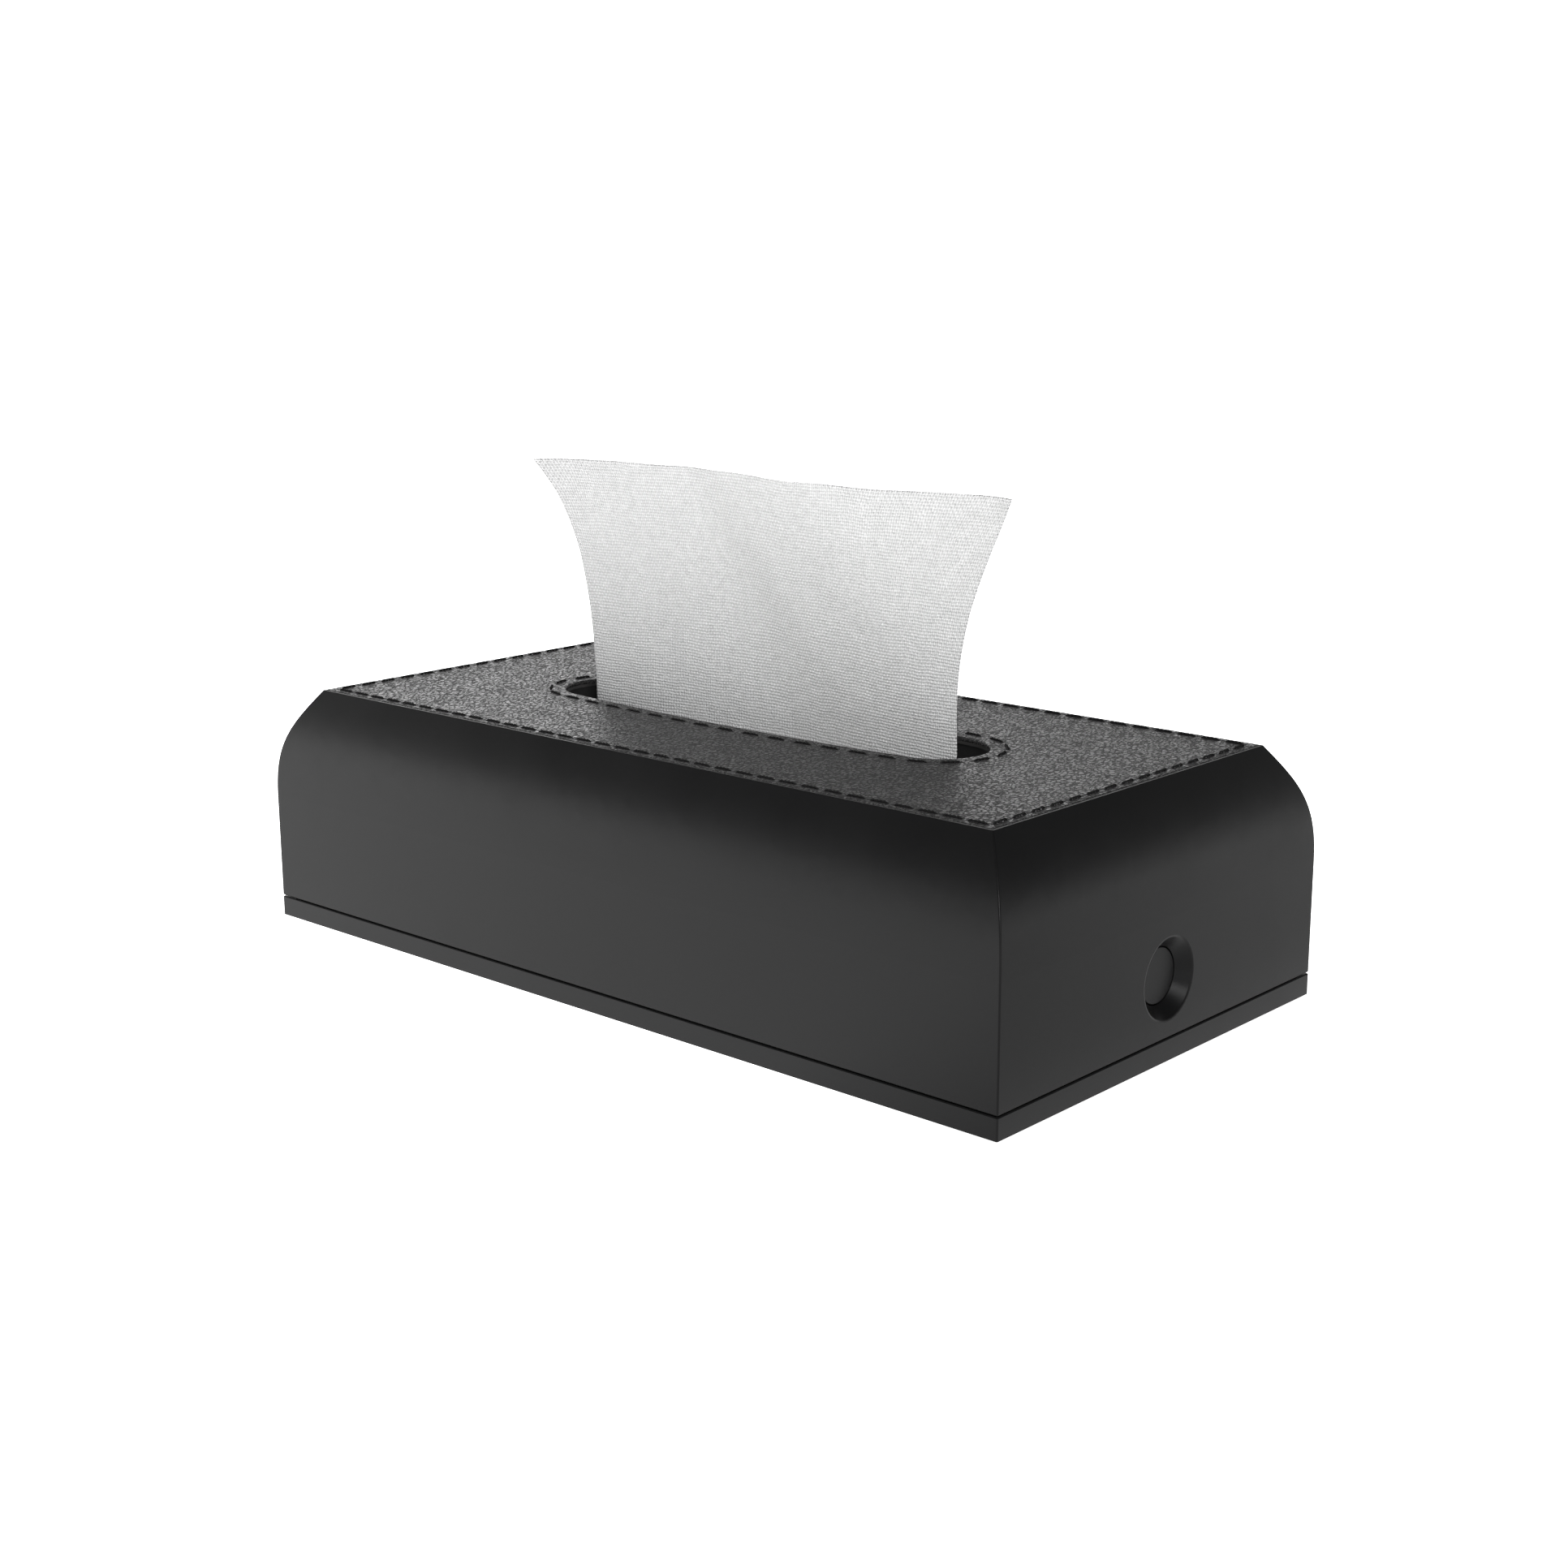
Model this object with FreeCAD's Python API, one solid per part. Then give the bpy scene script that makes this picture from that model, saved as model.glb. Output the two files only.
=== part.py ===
"""Napkin dispenser: a low hipped box with a leather-topped cover that hinges up from a base plate.

Frame: millimetres, +Z up, +X towards the end with the release button, origin on the resting
surface below the centre of the base plate.  Every function below makes one node.
"""

import math
import os

import FreeCAD
import Part

Vector = FreeCAD.Vector
X_AXIS = Vector(1, 0, 0)
Y_AXIS = Vector(0, 1, 0)
Z_AXIS = Vector(0, 0, 1)

# Body
LENGTH = 250.0
WIDTH = 129.0
FOOT_STAND = 1.0  # how far the feet stand out below the base plate
BODY_HEIGHT = 64.0  # underside of the base plate to the deck
DECK_Z = FOOT_STAND + BODY_HEIGHT
PARTING_Z = FOOT_STAND + 5.55  # middle of the groove between base plate and cover
PARTING_GAP = 0.3
PARTING_CHAMFER = 0.25
EDGE_RADIUS = 0.4

# Curved sides: upright to BEND_Z, then a cubic curve that ends leaning in at TOP_LEAN
BEND_Z = FOOT_STAND + 34.75
SIDE_INSET = 10.0
TOP_LEAN = math.radians(35.7)
LOW_HANDLE = 0.491  # handle lengths as shares of the curve's height
HIGH_HANDLE = 0.417

# Walls
WALL = 3.0
DECK_UNDERSIDE_Z = DECK_Z - 4.5
BASE_FLOOR = 2.5
BASE_FLOOR_Z = FOOT_STAND + BASE_FLOOR
LIP_CLEARANCE = 0.5  # between the locating lip and the cover's walls
LIP_THICKNESS = 1.6
LIP_TOP_Z = 10.5

# Leather-covered panel, set into the deck
PANEL_LENGTH = LENGTH - 2 * SIDE_INSET - 1.0
PANEL_WIDTH = WIDTH - 2 * SIDE_INSET - 1.0
PANEL_FIT = 0.1
LEATHER = 1.0
BACKING = 0.8
LEATHER_PROUD = 0.15
LEATHER_TOP_Z = DECK_Z + LEATHER_PROUD
LEATHER_EDGE_RADIUS = 0.3
BACKING_TOP_Z = LEATHER_TOP_Z - LEATHER
POCKET_Z = BACKING_TOP_Z - BACKING

# Slot: two long side arcs joined by tangent end arcs
SLOT_HALF_LENGTH = 70.0
SLOT_HALF_WIDTH = 15.4
SLOT_SIDE_RADIUS = 600.0
LINER_SETBACK = 0.3  # the liner's inner face stands back from the leather's cut edge
LINER_WALL = 1.2
LINER_FIT = 0.1
LINER_BOTTOM_Z = 55.0
LINER_FLANGE = 3.5
LINER_FLANGE_THICKNESS = 1.2
LINER_EDGE_RADIUS = 0.5

# Stitching
THREAD_RADIUS = 0.45
THREAD_PROUD = 0.4
EDGE_LINE_INSET = 2.5
EDGE_PITCH = 6.8
EDGE_STITCH = 5.3
SLOT_LINE_OFFSET = 4.0
SLOT_PITCH = 8.2
SLOT_STITCH = 5.2

# Release button in the right end
BUTTON_Z = FOOT_STAND + 20.0
DISH_RADIUS = 10.0
DISH_DEPTH = 3.15
DISH_RIM_RADIUS = 0.8
BUTTON_RADIUS = 6.8
BUTTON_GAP = 0.25
BUTTON_EDGE_RADIUS = 0.3
DISH_BOSS_RADIUS = 9.8
DISH_BOSS_X = 118.6
FLANGE_RADIUS = 8.6
FLANGE_THICKNESS = 1.2
FLANGE_PLAY = 0.3
STEM_RADIUS = 2.5
STEM_END_X = 105.4
RUNNING_CLEARANCE = 0.08
BUTTON_SPRING_RADIUS = 4.2
BUTTON_SPRING_WIRE = 0.3
BUTTON_SPRING_TURNS = 4

# Button guide: a plate screwed to two pillars on the cover's end wall
GUIDE_BACK_X = 108.0
GUIDE_THICKNESS = 2.5
GUIDE_HALF_WIDTH = 21.5
GUIDE_BOTTOM_Z = 13.5
GUIDE_SHOULDER_Z = 28.5
GUIDE_TAB_HALF_WIDTH = 9.0
GUIDE_TAB_TOP_Z = 39.0
GUIDE_CORNER_RADIUS = 2.0
GUIDE_NECK_RADIUS = 4.5
GUIDE_NECK_LENGTH = 1.5
PILLAR_Y = 17.5
PILLAR_RADIUS = 3.6
SCREW_RADIUS = 1.25
SCREW_LENGTH = 8.0
HEAD_RADIUS = 2.5
HEAD_HEIGHT = 1.6
CROSS_WIDTH = 0.6
CROSS_DEPTH = 0.8

# Latch spring: a strip that hangs from the guide's tab and ends in a barb under the keeper
LATCH_X = 104.6
LATCH_THICKNESS = 0.8
LATCH_HALF_WIDTH = 6.5
LATCH_BEND_RADIUS = 1.2
LATCH_FOOT_Z = (30.5, 38.0)
LATCH_STRAIGHT_Z = 26.5
LATCH_LOW_Z = 5.6
BARB_REACH = 4.6
BARB_RISE = 4.8
LATCH_SCREW_Y = 3.2
LATCH_SCREW_Z = 34.5

# Keeper: a folded strip on the base plate that the barb catches under
KEEPER_THICKNESS = 1.0
KEEPER_HALF_WIDTH = 9.0
KEEPER_PAD_Z = 5.0
KEEPER_PAD_HALF_WIDTH = 10.5
KEEPER_PAD_START_X = 112.0
KEEPER_FOOT_END_X = 119.5
KEEPER_RISER_X = 113.0
KEEPER_UNDERSIDE_Z = 11.2
KEEPER_NOSE_X = 108.0
KEEPER_BEND_RADIUS = 1.2
KEEPER_SCREW_X = 116.8
KEEPER_SCREW_Y = 5.5
KEEPER_SCREW_LENGTH = 4.0

# Hinges at the left end
HINGE_X = -LENGTH / 2
HINGE_Z = PARTING_Z
HINGE_CENTRES_Y = (-38.0, 38.0)
KNUCKLE_RADIUS = 2.6
KNUCKLE_CLEARANCE = 0.6
COVER_KNUCKLE = 8.0
BASE_KNUCKLE = 6.0
KNUCKLE_GAP = 0.3
PIN_RADIUS = 1.0
PIN_CLEARANCE = 0.05

# Lift plate, its posts and springs
POST_X = 105.0
POST_Y = 40.0
POST_RADIUS = 2.0
POST_SEAT_Z = 2.0
POST_TOP_Z = 50.0
POST_BOSS_RADIUS = 3.6
POST_BOSS_Z = 6.0
CAP_RADIUS = 4.0
CAP_HEIGHT = 3.5
CAP_TOP = 1.0
PLATE_TOP_Z = 19.6
PLATE_THICKNESS = 1.2
PLATE_LENGTH = 224.0
PLATE_WIDTH = 112.0
PLATE_CORNER_RADIUS = 6.0
PLATE_FLANGE_DEPTH = 4.0
PLATE_FLANGE_LENGTH = 190.0
NOTCH_X = 96.0
NOTCH_HALF_WIDTH = 27.0
BUSH_RADIUS = 3.2
BUSH_FLANGE_RADIUS = 4.6
BUSH_FLANGE = 1.0
BUSH_TAIL = 2.0
LIFT_SPRING_RADIUS = 4.9
LIFT_SPRING_WIRE = 0.45
LIFT_SPRING_TURNS = 6
SEAT_CLEARANCE = 0.05

# Feet
FOOT_RADIUS = 6.0
FOOT_X = 108.0
FOOT_Y = 48.0
FOOT_RECESS = 0.8
FOOT_CHAMFER = 0.4

# Napkins
STACK_LENGTH = 196.0
STACK_WIDTH = 98.0
STACK_HEIGHT = 33.0
STACK_EDGE_RADIUS = 2.5
SHEET_THICKNESS = 0.6
SHEET_BOTTOM_Z = 53.0
SHEET_TOP_Z = DECK_Z + 62.4
SHEET_SLOT_HALF = 63.0
SHEET_FLARE_Z = 74.0
SHEET_TOP_HALF = 80.5
SHEET_WAVE_CHORD = 32.0
SHEET_WAVE_HEIGHT = 3.2
SHEET_WAVES = 6

BIG = 400.0  # longer than anything here, for cutting tools


def box(x, y, z):
    """A box from three (low, high) pairs."""
    size = [pair[1] - pair[0] for pair in (x, y, z)]
    return Part.makeBox(*size, Vector(x[0], y[0], z[0]))


def centred_box(length, width, z):
    return box((-length / 2, length / 2), (-width / 2, width / 2), z)


def cylinder(radius, height, base, axis=Z_AXIS):
    return Part.makeCylinder(radius, height, base, axis)


def joined(shapes):
    """One solid from overlapping or touching solids, without the seams between them."""
    return shapes[0].multiFuse(shapes[1:]).removeSplitter()


def edges_where(shape, test):
    return [edge for edge in shape.Edges if test(edge)]


def mirrored(shape, normal):
    return shape.mirror(Vector(0, 0, 0), normal)


def corners_of(x, y):
    return [(sx * x, sy * y) for sx in (-1, 1) for sy in (-1, 1)]


# Shared outlines


def side_prism(half, depth, z_low, z_bend, z_top, inset):
    """A prism along Y whose two ends at x = -half and +half follow the body's side curve."""
    rise = z_top - z_bend

    def side(sign):
        poles = [
            Vector(sign * half, 0, z_bend),
            Vector(sign * half, 0, z_bend + LOW_HANDLE * rise),
            Vector(
                sign * (half - inset + HIGH_HANDLE * rise * math.sin(TOP_LEAN)),
                0,
                z_top - HIGH_HANDLE * rise * math.cos(TOP_LEAN),
            ),
            Vector(sign * (half - inset), 0, z_top),
        ]
        curve = Part.BezierCurve()
        curve.setPoles(poles)
        return curve.toShape()

    right = side(1)
    left = side(-1)
    top_right = Vector(half - inset, 0, z_top)
    top_left = Vector(inset - half, 0, z_top)
    low_right = Vector(half, 0, z_low)
    low_left = Vector(-half, 0, z_low)
    edges = [
        Part.makeLine(low_left, low_right),
        Part.makeLine(low_right, Vector(half, 0, z_bend)),
        right,
        Part.makeLine(top_right, top_left),
        left,
        Part.makeLine(Vector(-half, 0, z_bend), low_left),
    ]
    face = Part.Face(Part.Wire(Part.__sortEdges__(edges)))
    face.translate(Vector(0, -depth / 2, 0))
    return face.extrude(Vector(0, depth, 0))


def hipped_block(length, width, z_low, z_bend, z_top, inset):
    """The body's outer form: four curved sides that meet in mitred corners."""
    along = side_prism(length / 2, width, z_low, z_bend, z_top, inset)
    across = side_prism(width / 2, length, z_low, z_bend, z_top, inset)
    across.rotate(Vector(0, 0, 0), Z_AXIS, 90)
    return along.common(across)


def slot_wire(offset):
    """The slot's outline, grown by offset, as two side arcs and two tangent end arcs."""
    side_drop = SLOT_SIDE_RADIUS - SLOT_HALF_WIDTH
    end_radius = (
        2 * SLOT_SIDE_RADIUS * SLOT_HALF_WIDTH
        - SLOT_HALF_WIDTH**2
        - SLOT_HALF_LENGTH**2
    ) / (2 * (SLOT_SIDE_RADIUS - SLOT_HALF_LENGTH))
    end_x = SLOT_HALF_LENGTH - end_radius
    lean = math.atan2(end_x, side_drop)
    side_reach = SLOT_SIDE_RADIUS + offset
    join_x = side_reach * math.sin(lean)
    join_y = side_reach * math.cos(lean) - side_drop
    tip_x = SLOT_HALF_LENGTH + offset
    crown_y = SLOT_HALF_WIDTH + offset
    arcs = [
        ((-join_x, join_y), (0, crown_y), (join_x, join_y)),
        ((join_x, join_y), (tip_x, 0), (join_x, -join_y)),
        ((join_x, -join_y), (0, -crown_y), (-join_x, -join_y)),
        ((-join_x, -join_y), (-tip_x, 0), (-join_x, join_y)),
    ]
    return Part.Wire([Part.Arc(*[Vector(x, y, 0) for x, y in arc]).toShape() for arc in arcs])


def slot_prism(offset, z_low, z_high):
    face = Part.Face(slot_wire(offset))
    face.translate(Vector(0, 0, z_low))
    return face.extrude(Vector(0, 0, z_high - z_low))


# Fasteners, springs and stitches


def pan_screw(radius, length, tip_direction):
    """A cross-recessed pan-head screw with its head's underside at the origin."""
    head = cylinder(HEAD_RADIUS, HEAD_HEIGHT, Vector(0, 0, 0))
    rim = edges_where(head, lambda e: e.BoundBox.ZMin > HEAD_HEIGHT / 2)
    head = head.makeFillet(HEAD_HEIGHT / 2, rim)
    shank = cylinder(radius, length, Vector(0, 0, -length))
    screw = joined([head, shank])
    arm = HEAD_RADIUS * 0.6
    for half_x, half_y in ((arm, CROSS_WIDTH / 2), (CROSS_WIDTH / 2, arm)):
        recess_z = (HEAD_HEIGHT - CROSS_DEPTH, HEAD_HEIGHT + 1)
        screw = screw.cut(box((-half_x, half_x), (-half_y, half_y), recess_z))
    turn = FreeCAD.Rotation(Vector(0, 0, -1), tip_direction)
    return screw.transformGeometry(FreeCAD.Placement(Vector(0, 0, 0), turn).toMatrix())


def placed(shape, x, y, z):
    copy = shape.copy()
    copy.translate(Vector(x, y, z))
    return copy


def coil_spring(radius, wire_radius, length, turns):
    """A round-wire spring that stands on z = 0 and is length tall over the wire."""
    pitch = (length - 2 * wire_radius) / turns
    one_turn = Part.makeHelix(pitch, pitch, radius)
    path = Part.Wire([edge for i in range(turns) for edge in placed(one_turn, 0, 0, i * pitch).Edges])
    tangent = Vector(0, 2 * math.pi * radius, pitch)
    section = Part.Wire(Part.makeCircle(wire_radius, Vector(radius, 0, 0), tangent))
    spring = path.makePipeShell([section], True, True)
    spring.translate(Vector(0, 0, wire_radius))
    return spring


def stitch(length):
    """One raised stitch along X, lying on z = 0."""
    half = length / 2 - THREAD_RADIUS
    sunk = THREAD_PROUD - THREAD_RADIUS
    core = cylinder(THREAD_RADIUS, 2 * half, Vector(-half, 0, sunk), X_AXIS)
    ends = [Part.makeSphere(THREAD_RADIUS, Vector(s * half, 0, sunk)) for s in (-1, 1)]
    thread = joined([core] + ends)
    return thread.common(box((-length, length), (-1, 1), (0, 2 * THREAD_RADIUS)))


def stitches_along(edges, pitch, length):
    """Stitches centred in equal steps along each edge, lying on the leather."""
    one = stitch(length)
    made = []
    for edge in edges:
        count = round(edge.Length / pitch)
        for i in range(count):
            at = edge.getParameterByLength(edge.Length * (i + 0.5) / count)
            tangent = edge.tangentAt(at)
            point = edge.valueAt(at)
            copy = one.copy()
            copy.rotate(Vector(0, 0, 0), Z_AXIS, math.degrees(math.atan2(tangent.y, tangent.x)))
            copy.translate(Vector(point.x, point.y, LEATHER_TOP_Z))
            made.append(copy)
    return Part.makeCompound(made)


# Hinge knuckles


def base_knuckle_spans():
    """(low, high) in Y of the base plate's knuckles, two to a hinge."""
    inner = COVER_KNUCKLE / 2 + KNUCKLE_GAP
    outer = inner + BASE_KNUCKLE
    spans = []
    for centre in HINGE_CENTRES_Y:
        spans.append((centre - outer, centre - inner))
        spans.append((centre + inner, centre + outer))
    return spans


def cover_knuckle_spans():
    half = COVER_KNUCKLE / 2
    return [(centre - half, centre + half) for centre in HINGE_CENTRES_Y]


def along_hinge(radius, span, grow=0.0):
    low, high = span
    base = Vector(HINGE_X, low - grow, HINGE_Z)
    return cylinder(radius, high - low + 2 * grow, base, Y_AXIS)


def with_knuckles(body, own_spans, other_spans, bore_radius):
    """Body with its own knuckles added, and room cut for the other half's."""
    for span in other_spans:
        room = along_hinge(KNUCKLE_RADIUS + KNUCKLE_CLEARANCE, span, KNUCKLE_GAP)
        body = body.cut(room)
    body = joined([body] + [along_hinge(KNUCKLE_RADIUS, span) for span in own_spans])
    for span in own_spans:
        body = body.cut(along_hinge(bore_radius, span, KNUCKLE_GAP))
    return body


# Nodes of the base


def base_plate():
    rim_top = PARTING_Z - PARTING_GAP / 2
    plate = centred_box(LENGTH, WIDTH, (FOOT_STAND, rim_top))
    plate = plate.makeFillet(EDGE_RADIUS, edges_where(plate, is_upright))
    top_rim = edges_where(plate, lambda e: e.BoundBox.ZMin > rim_top - 0.01)
    plate = plate.makeChamfer(PARTING_CHAMFER, top_rim)
    lip_length = LENGTH - 2 * (WALL + LIP_CLEARANCE)
    lip_width = WIDTH - 2 * (WALL + LIP_CLEARANCE)
    lip = centred_box(lip_length, lip_width, (FOOT_STAND + 1, LIP_TOP_Z))
    tray_z = (BASE_FLOOR_Z, BIG)
    tray = centred_box(lip_length - 2 * LIP_THICKNESS, lip_width - 2 * LIP_THICKNESS, tray_z)
    plate = joined([plate, lip]).cut(tray)
    pad_x = (KEEPER_PAD_START_X, lip_length / 2 - LIP_THICKNESS)
    pad_y = (-KEEPER_PAD_HALF_WIDTH, KEEPER_PAD_HALF_WIDTH)
    additions = [box(pad_x, pad_y, (FOOT_STAND + 1, KEEPER_PAD_Z))]
    for x, y in corners_of(POST_X, POST_Y):
        boss_base = Vector(x, y, FOOT_STAND + 1)
        additions.append(cylinder(POST_BOSS_RADIUS, POST_BOSS_Z - FOOT_STAND - 1, boss_base))
    plate = joined([plate] + additions)
    holes = []
    for x, y in corners_of(POST_X, POST_Y):
        holes.append(cylinder(POST_RADIUS, BIG, Vector(x, y, POST_SEAT_Z)))
    for x, y in corners_of(FOOT_X, FOOT_Y):
        holes.append(cylinder(FOOT_RADIUS, FOOT_STAND + FOOT_RECESS, Vector(x, y, 0)))
    for y in (-KEEPER_SCREW_Y, KEEPER_SCREW_Y):
        tip_z = KEEPER_PAD_Z + KEEPER_THICKNESS - KEEPER_SCREW_LENGTH
        holes.append(cylinder(SCREW_RADIUS, BIG, Vector(KEEPER_SCREW_X, y, tip_z)))
    for hole in holes:
        plate = plate.cut(hole)
    return with_knuckles(plate, base_knuckle_spans(), cover_knuckle_spans(), PIN_RADIUS)


def is_upright(edge):
    size = edge.BoundBox
    return size.XLength < 0.01 and size.YLength < 0.01


def rubber_feet():
    foot = cylinder(FOOT_RADIUS, FOOT_STAND + FOOT_RECESS, Vector(0, 0, 0))
    rim = edges_where(foot, lambda e: e.BoundBox.ZMax < 0.01 and e.Closed)
    foot = foot.makeChamfer(FOOT_CHAMFER, rim)
    return Part.makeCompound([placed(foot, x, y, 0) for x, y in corners_of(FOOT_X, FOOT_Y)])


def hinge_pins():
    reach = COVER_KNUCKLE / 2 + KNUCKLE_GAP + BASE_KNUCKLE
    spans = [(centre - reach, centre + reach) for centre in HINGE_CENTRES_Y]
    return Part.makeCompound([along_hinge(PIN_RADIUS, span) for span in spans])


def folded_strip(points, bend_radius, thickness, half_width):
    """A strip of sheet metal that follows points in the XZ plane, with rounded bends."""
    edges = []
    start = points[0]
    for before, corner, after in zip(points, points[1:], points[2:]):
        into = (before - corner).normalize()
        out = (after - corner).normalize()
        half_angle = into.getAngle(out) / 2
        setback = bend_radius / math.tan(half_angle)
        first = corner + into * setback
        last = corner + out * setback
        centre = corner + (into + out).normalize() * (bend_radius / math.sin(half_angle))
        middle = centre + (corner - centre).normalize() * bend_radius
        edges.append(Part.makeLine(start, first))
        edges.append(Part.Arc(first, middle, last).toShape())
        start = last
    edges.append(Part.makeLine(start, points[-1]))
    outline = Part.Wire(edges).makeOffset2D(thickness / 2)
    strip = Part.Face(outline).extrude(Vector(0, 2 * half_width, 0))
    strip.translate(Vector(0, -half_width, 0))
    return strip


def latch_keeper():
    half = KEEPER_THICKNESS / 2
    points = [
        Vector(KEEPER_FOOT_END_X - half, 0, KEEPER_PAD_Z + half),
        Vector(KEEPER_RISER_X, 0, KEEPER_PAD_Z + half),
        Vector(KEEPER_RISER_X, 0, KEEPER_UNDERSIDE_Z + half),
        Vector(KEEPER_NOSE_X + half, 0, KEEPER_UNDERSIDE_Z + half),
    ]
    strip = folded_strip(points, KEEPER_BEND_RADIUS, KEEPER_THICKNESS, KEEPER_HALF_WIDTH)
    for y in (-KEEPER_SCREW_Y, KEEPER_SCREW_Y):
        below = Vector(KEEPER_SCREW_X, y, KEEPER_PAD_Z - half)
        strip = strip.cut(cylinder(SCREW_RADIUS, 2 * KEEPER_THICKNESS, below))
    return strip


def keeper_screws():
    screw = pan_screw(SCREW_RADIUS, KEEPER_SCREW_LENGTH, Vector(0, 0, -1))
    top = KEEPER_PAD_Z + KEEPER_THICKNESS
    places = [-KEEPER_SCREW_Y, KEEPER_SCREW_Y]
    return Part.makeCompound([placed(screw, KEEPER_SCREW_X, y, top) for y in places])


def guide_posts():
    post = cylinder(POST_RADIUS, POST_TOP_Z - POST_SEAT_Z, Vector(0, 0, POST_SEAT_Z))
    return Part.makeCompound([placed(post, x, y, 0) for x, y in corners_of(POST_X, POST_Y)])


def post_caps():
    bottom = POST_TOP_Z + CAP_TOP - CAP_HEIGHT
    cap = cylinder(CAP_RADIUS, CAP_HEIGHT, Vector(0, 0, bottom))
    rim = edges_where(cap, lambda e: e.BoundBox.ZMin > POST_TOP_Z)
    cap = cap.makeFillet(CAP_TOP, rim)
    cap = cap.cut(cylinder(POST_RADIUS, POST_TOP_Z - bottom, Vector(0, 0, bottom)))
    return Part.makeCompound([placed(cap, x, y, 0) for x, y in corners_of(POST_X, POST_Y)])


def lift_springs():
    seat = BASE_FLOOR_Z + SEAT_CLEARANCE
    length = PLATE_TOP_Z - PLATE_THICKNESS - SEAT_CLEARANCE - seat
    spring = coil_spring(LIFT_SPRING_RADIUS, LIFT_SPRING_WIRE, length, LIFT_SPRING_TURNS)
    return Part.makeCompound([placed(spring, x, y, seat) for x, y in corners_of(POST_X, POST_Y)])


# Nodes of the lift platform


def lift_plate():
    bottom = PLATE_TOP_Z - PLATE_THICKNESS
    plate = centred_box(PLATE_LENGTH, PLATE_WIDTH, (bottom, PLATE_TOP_Z))
    plate = plate.makeFillet(PLATE_CORNER_RADIUS, edges_where(plate, is_upright))
    notch_y = (-NOTCH_HALF_WIDTH, NOTCH_HALF_WIDTH)
    plate = plate.cut(box((NOTCH_X, BIG), notch_y, (0, BIG)))
    flange_x = (-PLATE_FLANGE_LENGTH / 2, PLATE_FLANGE_LENGTH / 2)
    flange_y = (PLATE_WIDTH / 2 - PLATE_THICKNESS, PLATE_WIDTH / 2)
    flange = box(flange_x, flange_y, (PLATE_TOP_Z - PLATE_FLANGE_DEPTH, PLATE_TOP_Z))
    plate = joined([plate, flange, mirrored(flange, Y_AXIS)])
    for x, y in corners_of(POST_X, POST_Y):
        plate = plate.cut(cylinder(BUSH_RADIUS, BIG, Vector(x, y, 0)))
    return plate


def guide_bushes():
    bottom = PLATE_TOP_Z - PLATE_THICKNESS - BUSH_TAIL
    sleeve = cylinder(BUSH_RADIUS, PLATE_TOP_Z + BUSH_FLANGE - bottom, Vector(0, 0, bottom))
    flange = cylinder(BUSH_FLANGE_RADIUS, BUSH_FLANGE, Vector(0, 0, PLATE_TOP_Z))
    bush = joined([sleeve, flange])
    bush = bush.cut(cylinder(POST_RADIUS + RUNNING_CLEARANCE, BIG, Vector(0, 0, 0)))
    return Part.makeCompound([placed(bush, x, y, 0) for x, y in corners_of(POST_X, POST_Y)])


def napkin_stack():
    stack = centred_box(STACK_LENGTH, STACK_WIDTH, (PLATE_TOP_Z, PLATE_TOP_Z + STACK_HEIGHT))
    folds = edges_where(stack, lambda e: e.BoundBox.XLength > STACK_LENGTH / 2)
    return stack.makeFillet(STACK_EDGE_RADIUS, folds)


# Nodes of the cover


def cover_shell():
    bottom = PARTING_Z + PARTING_GAP / 2
    shell = hipped_block(LENGTH, WIDTH, bottom, BEND_Z, DECK_Z, SIDE_INSET)
    shell = shell.makeFillet(EDGE_RADIUS, edges_where(shell, is_corner))
    foot_rim = edges_where(shell, lambda e: e.BoundBox.ZMax < bottom + 0.01)
    shell = shell.makeChamfer(PARTING_CHAMFER, foot_rim)
    cavity = hipped_block(
        LENGTH - 2 * WALL,
        WIDTH - 2 * WALL,
        bottom - 1,
        BEND_Z - WALL / 3,
        DECK_UNDERSIDE_Z,
        SIDE_INSET + WALL / 4,
    )
    shell = shell.cut(cavity)
    pocket_z = (POCKET_Z, BIG)
    shell = shell.cut(centred_box(PANEL_LENGTH + PANEL_FIT, PANEL_WIDTH + PANEL_FIT, pocket_z))
    slot_offset = LINER_SETBACK + LINER_WALL + LINER_FIT
    shell = shell.cut(slot_prism(slot_offset, DECK_UNDERSIDE_Z - 1, DECK_Z + 1))
    shell = with_button_seat(shell)
    bore = PIN_RADIUS + PIN_CLEARANCE
    return with_knuckles(shell, cover_knuckle_spans(), base_knuckle_spans(), bore)


def is_corner(edge):
    """The upright corner edges and the mitres above them."""
    size = edge.BoundBox
    upright = size.XLength < 0.01 and size.YLength < 0.01
    mitre = size.XLength > 1 and abs(size.XLength - size.YLength) < 0.1 and size.ZLength > 1
    return upright or mitre


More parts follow.
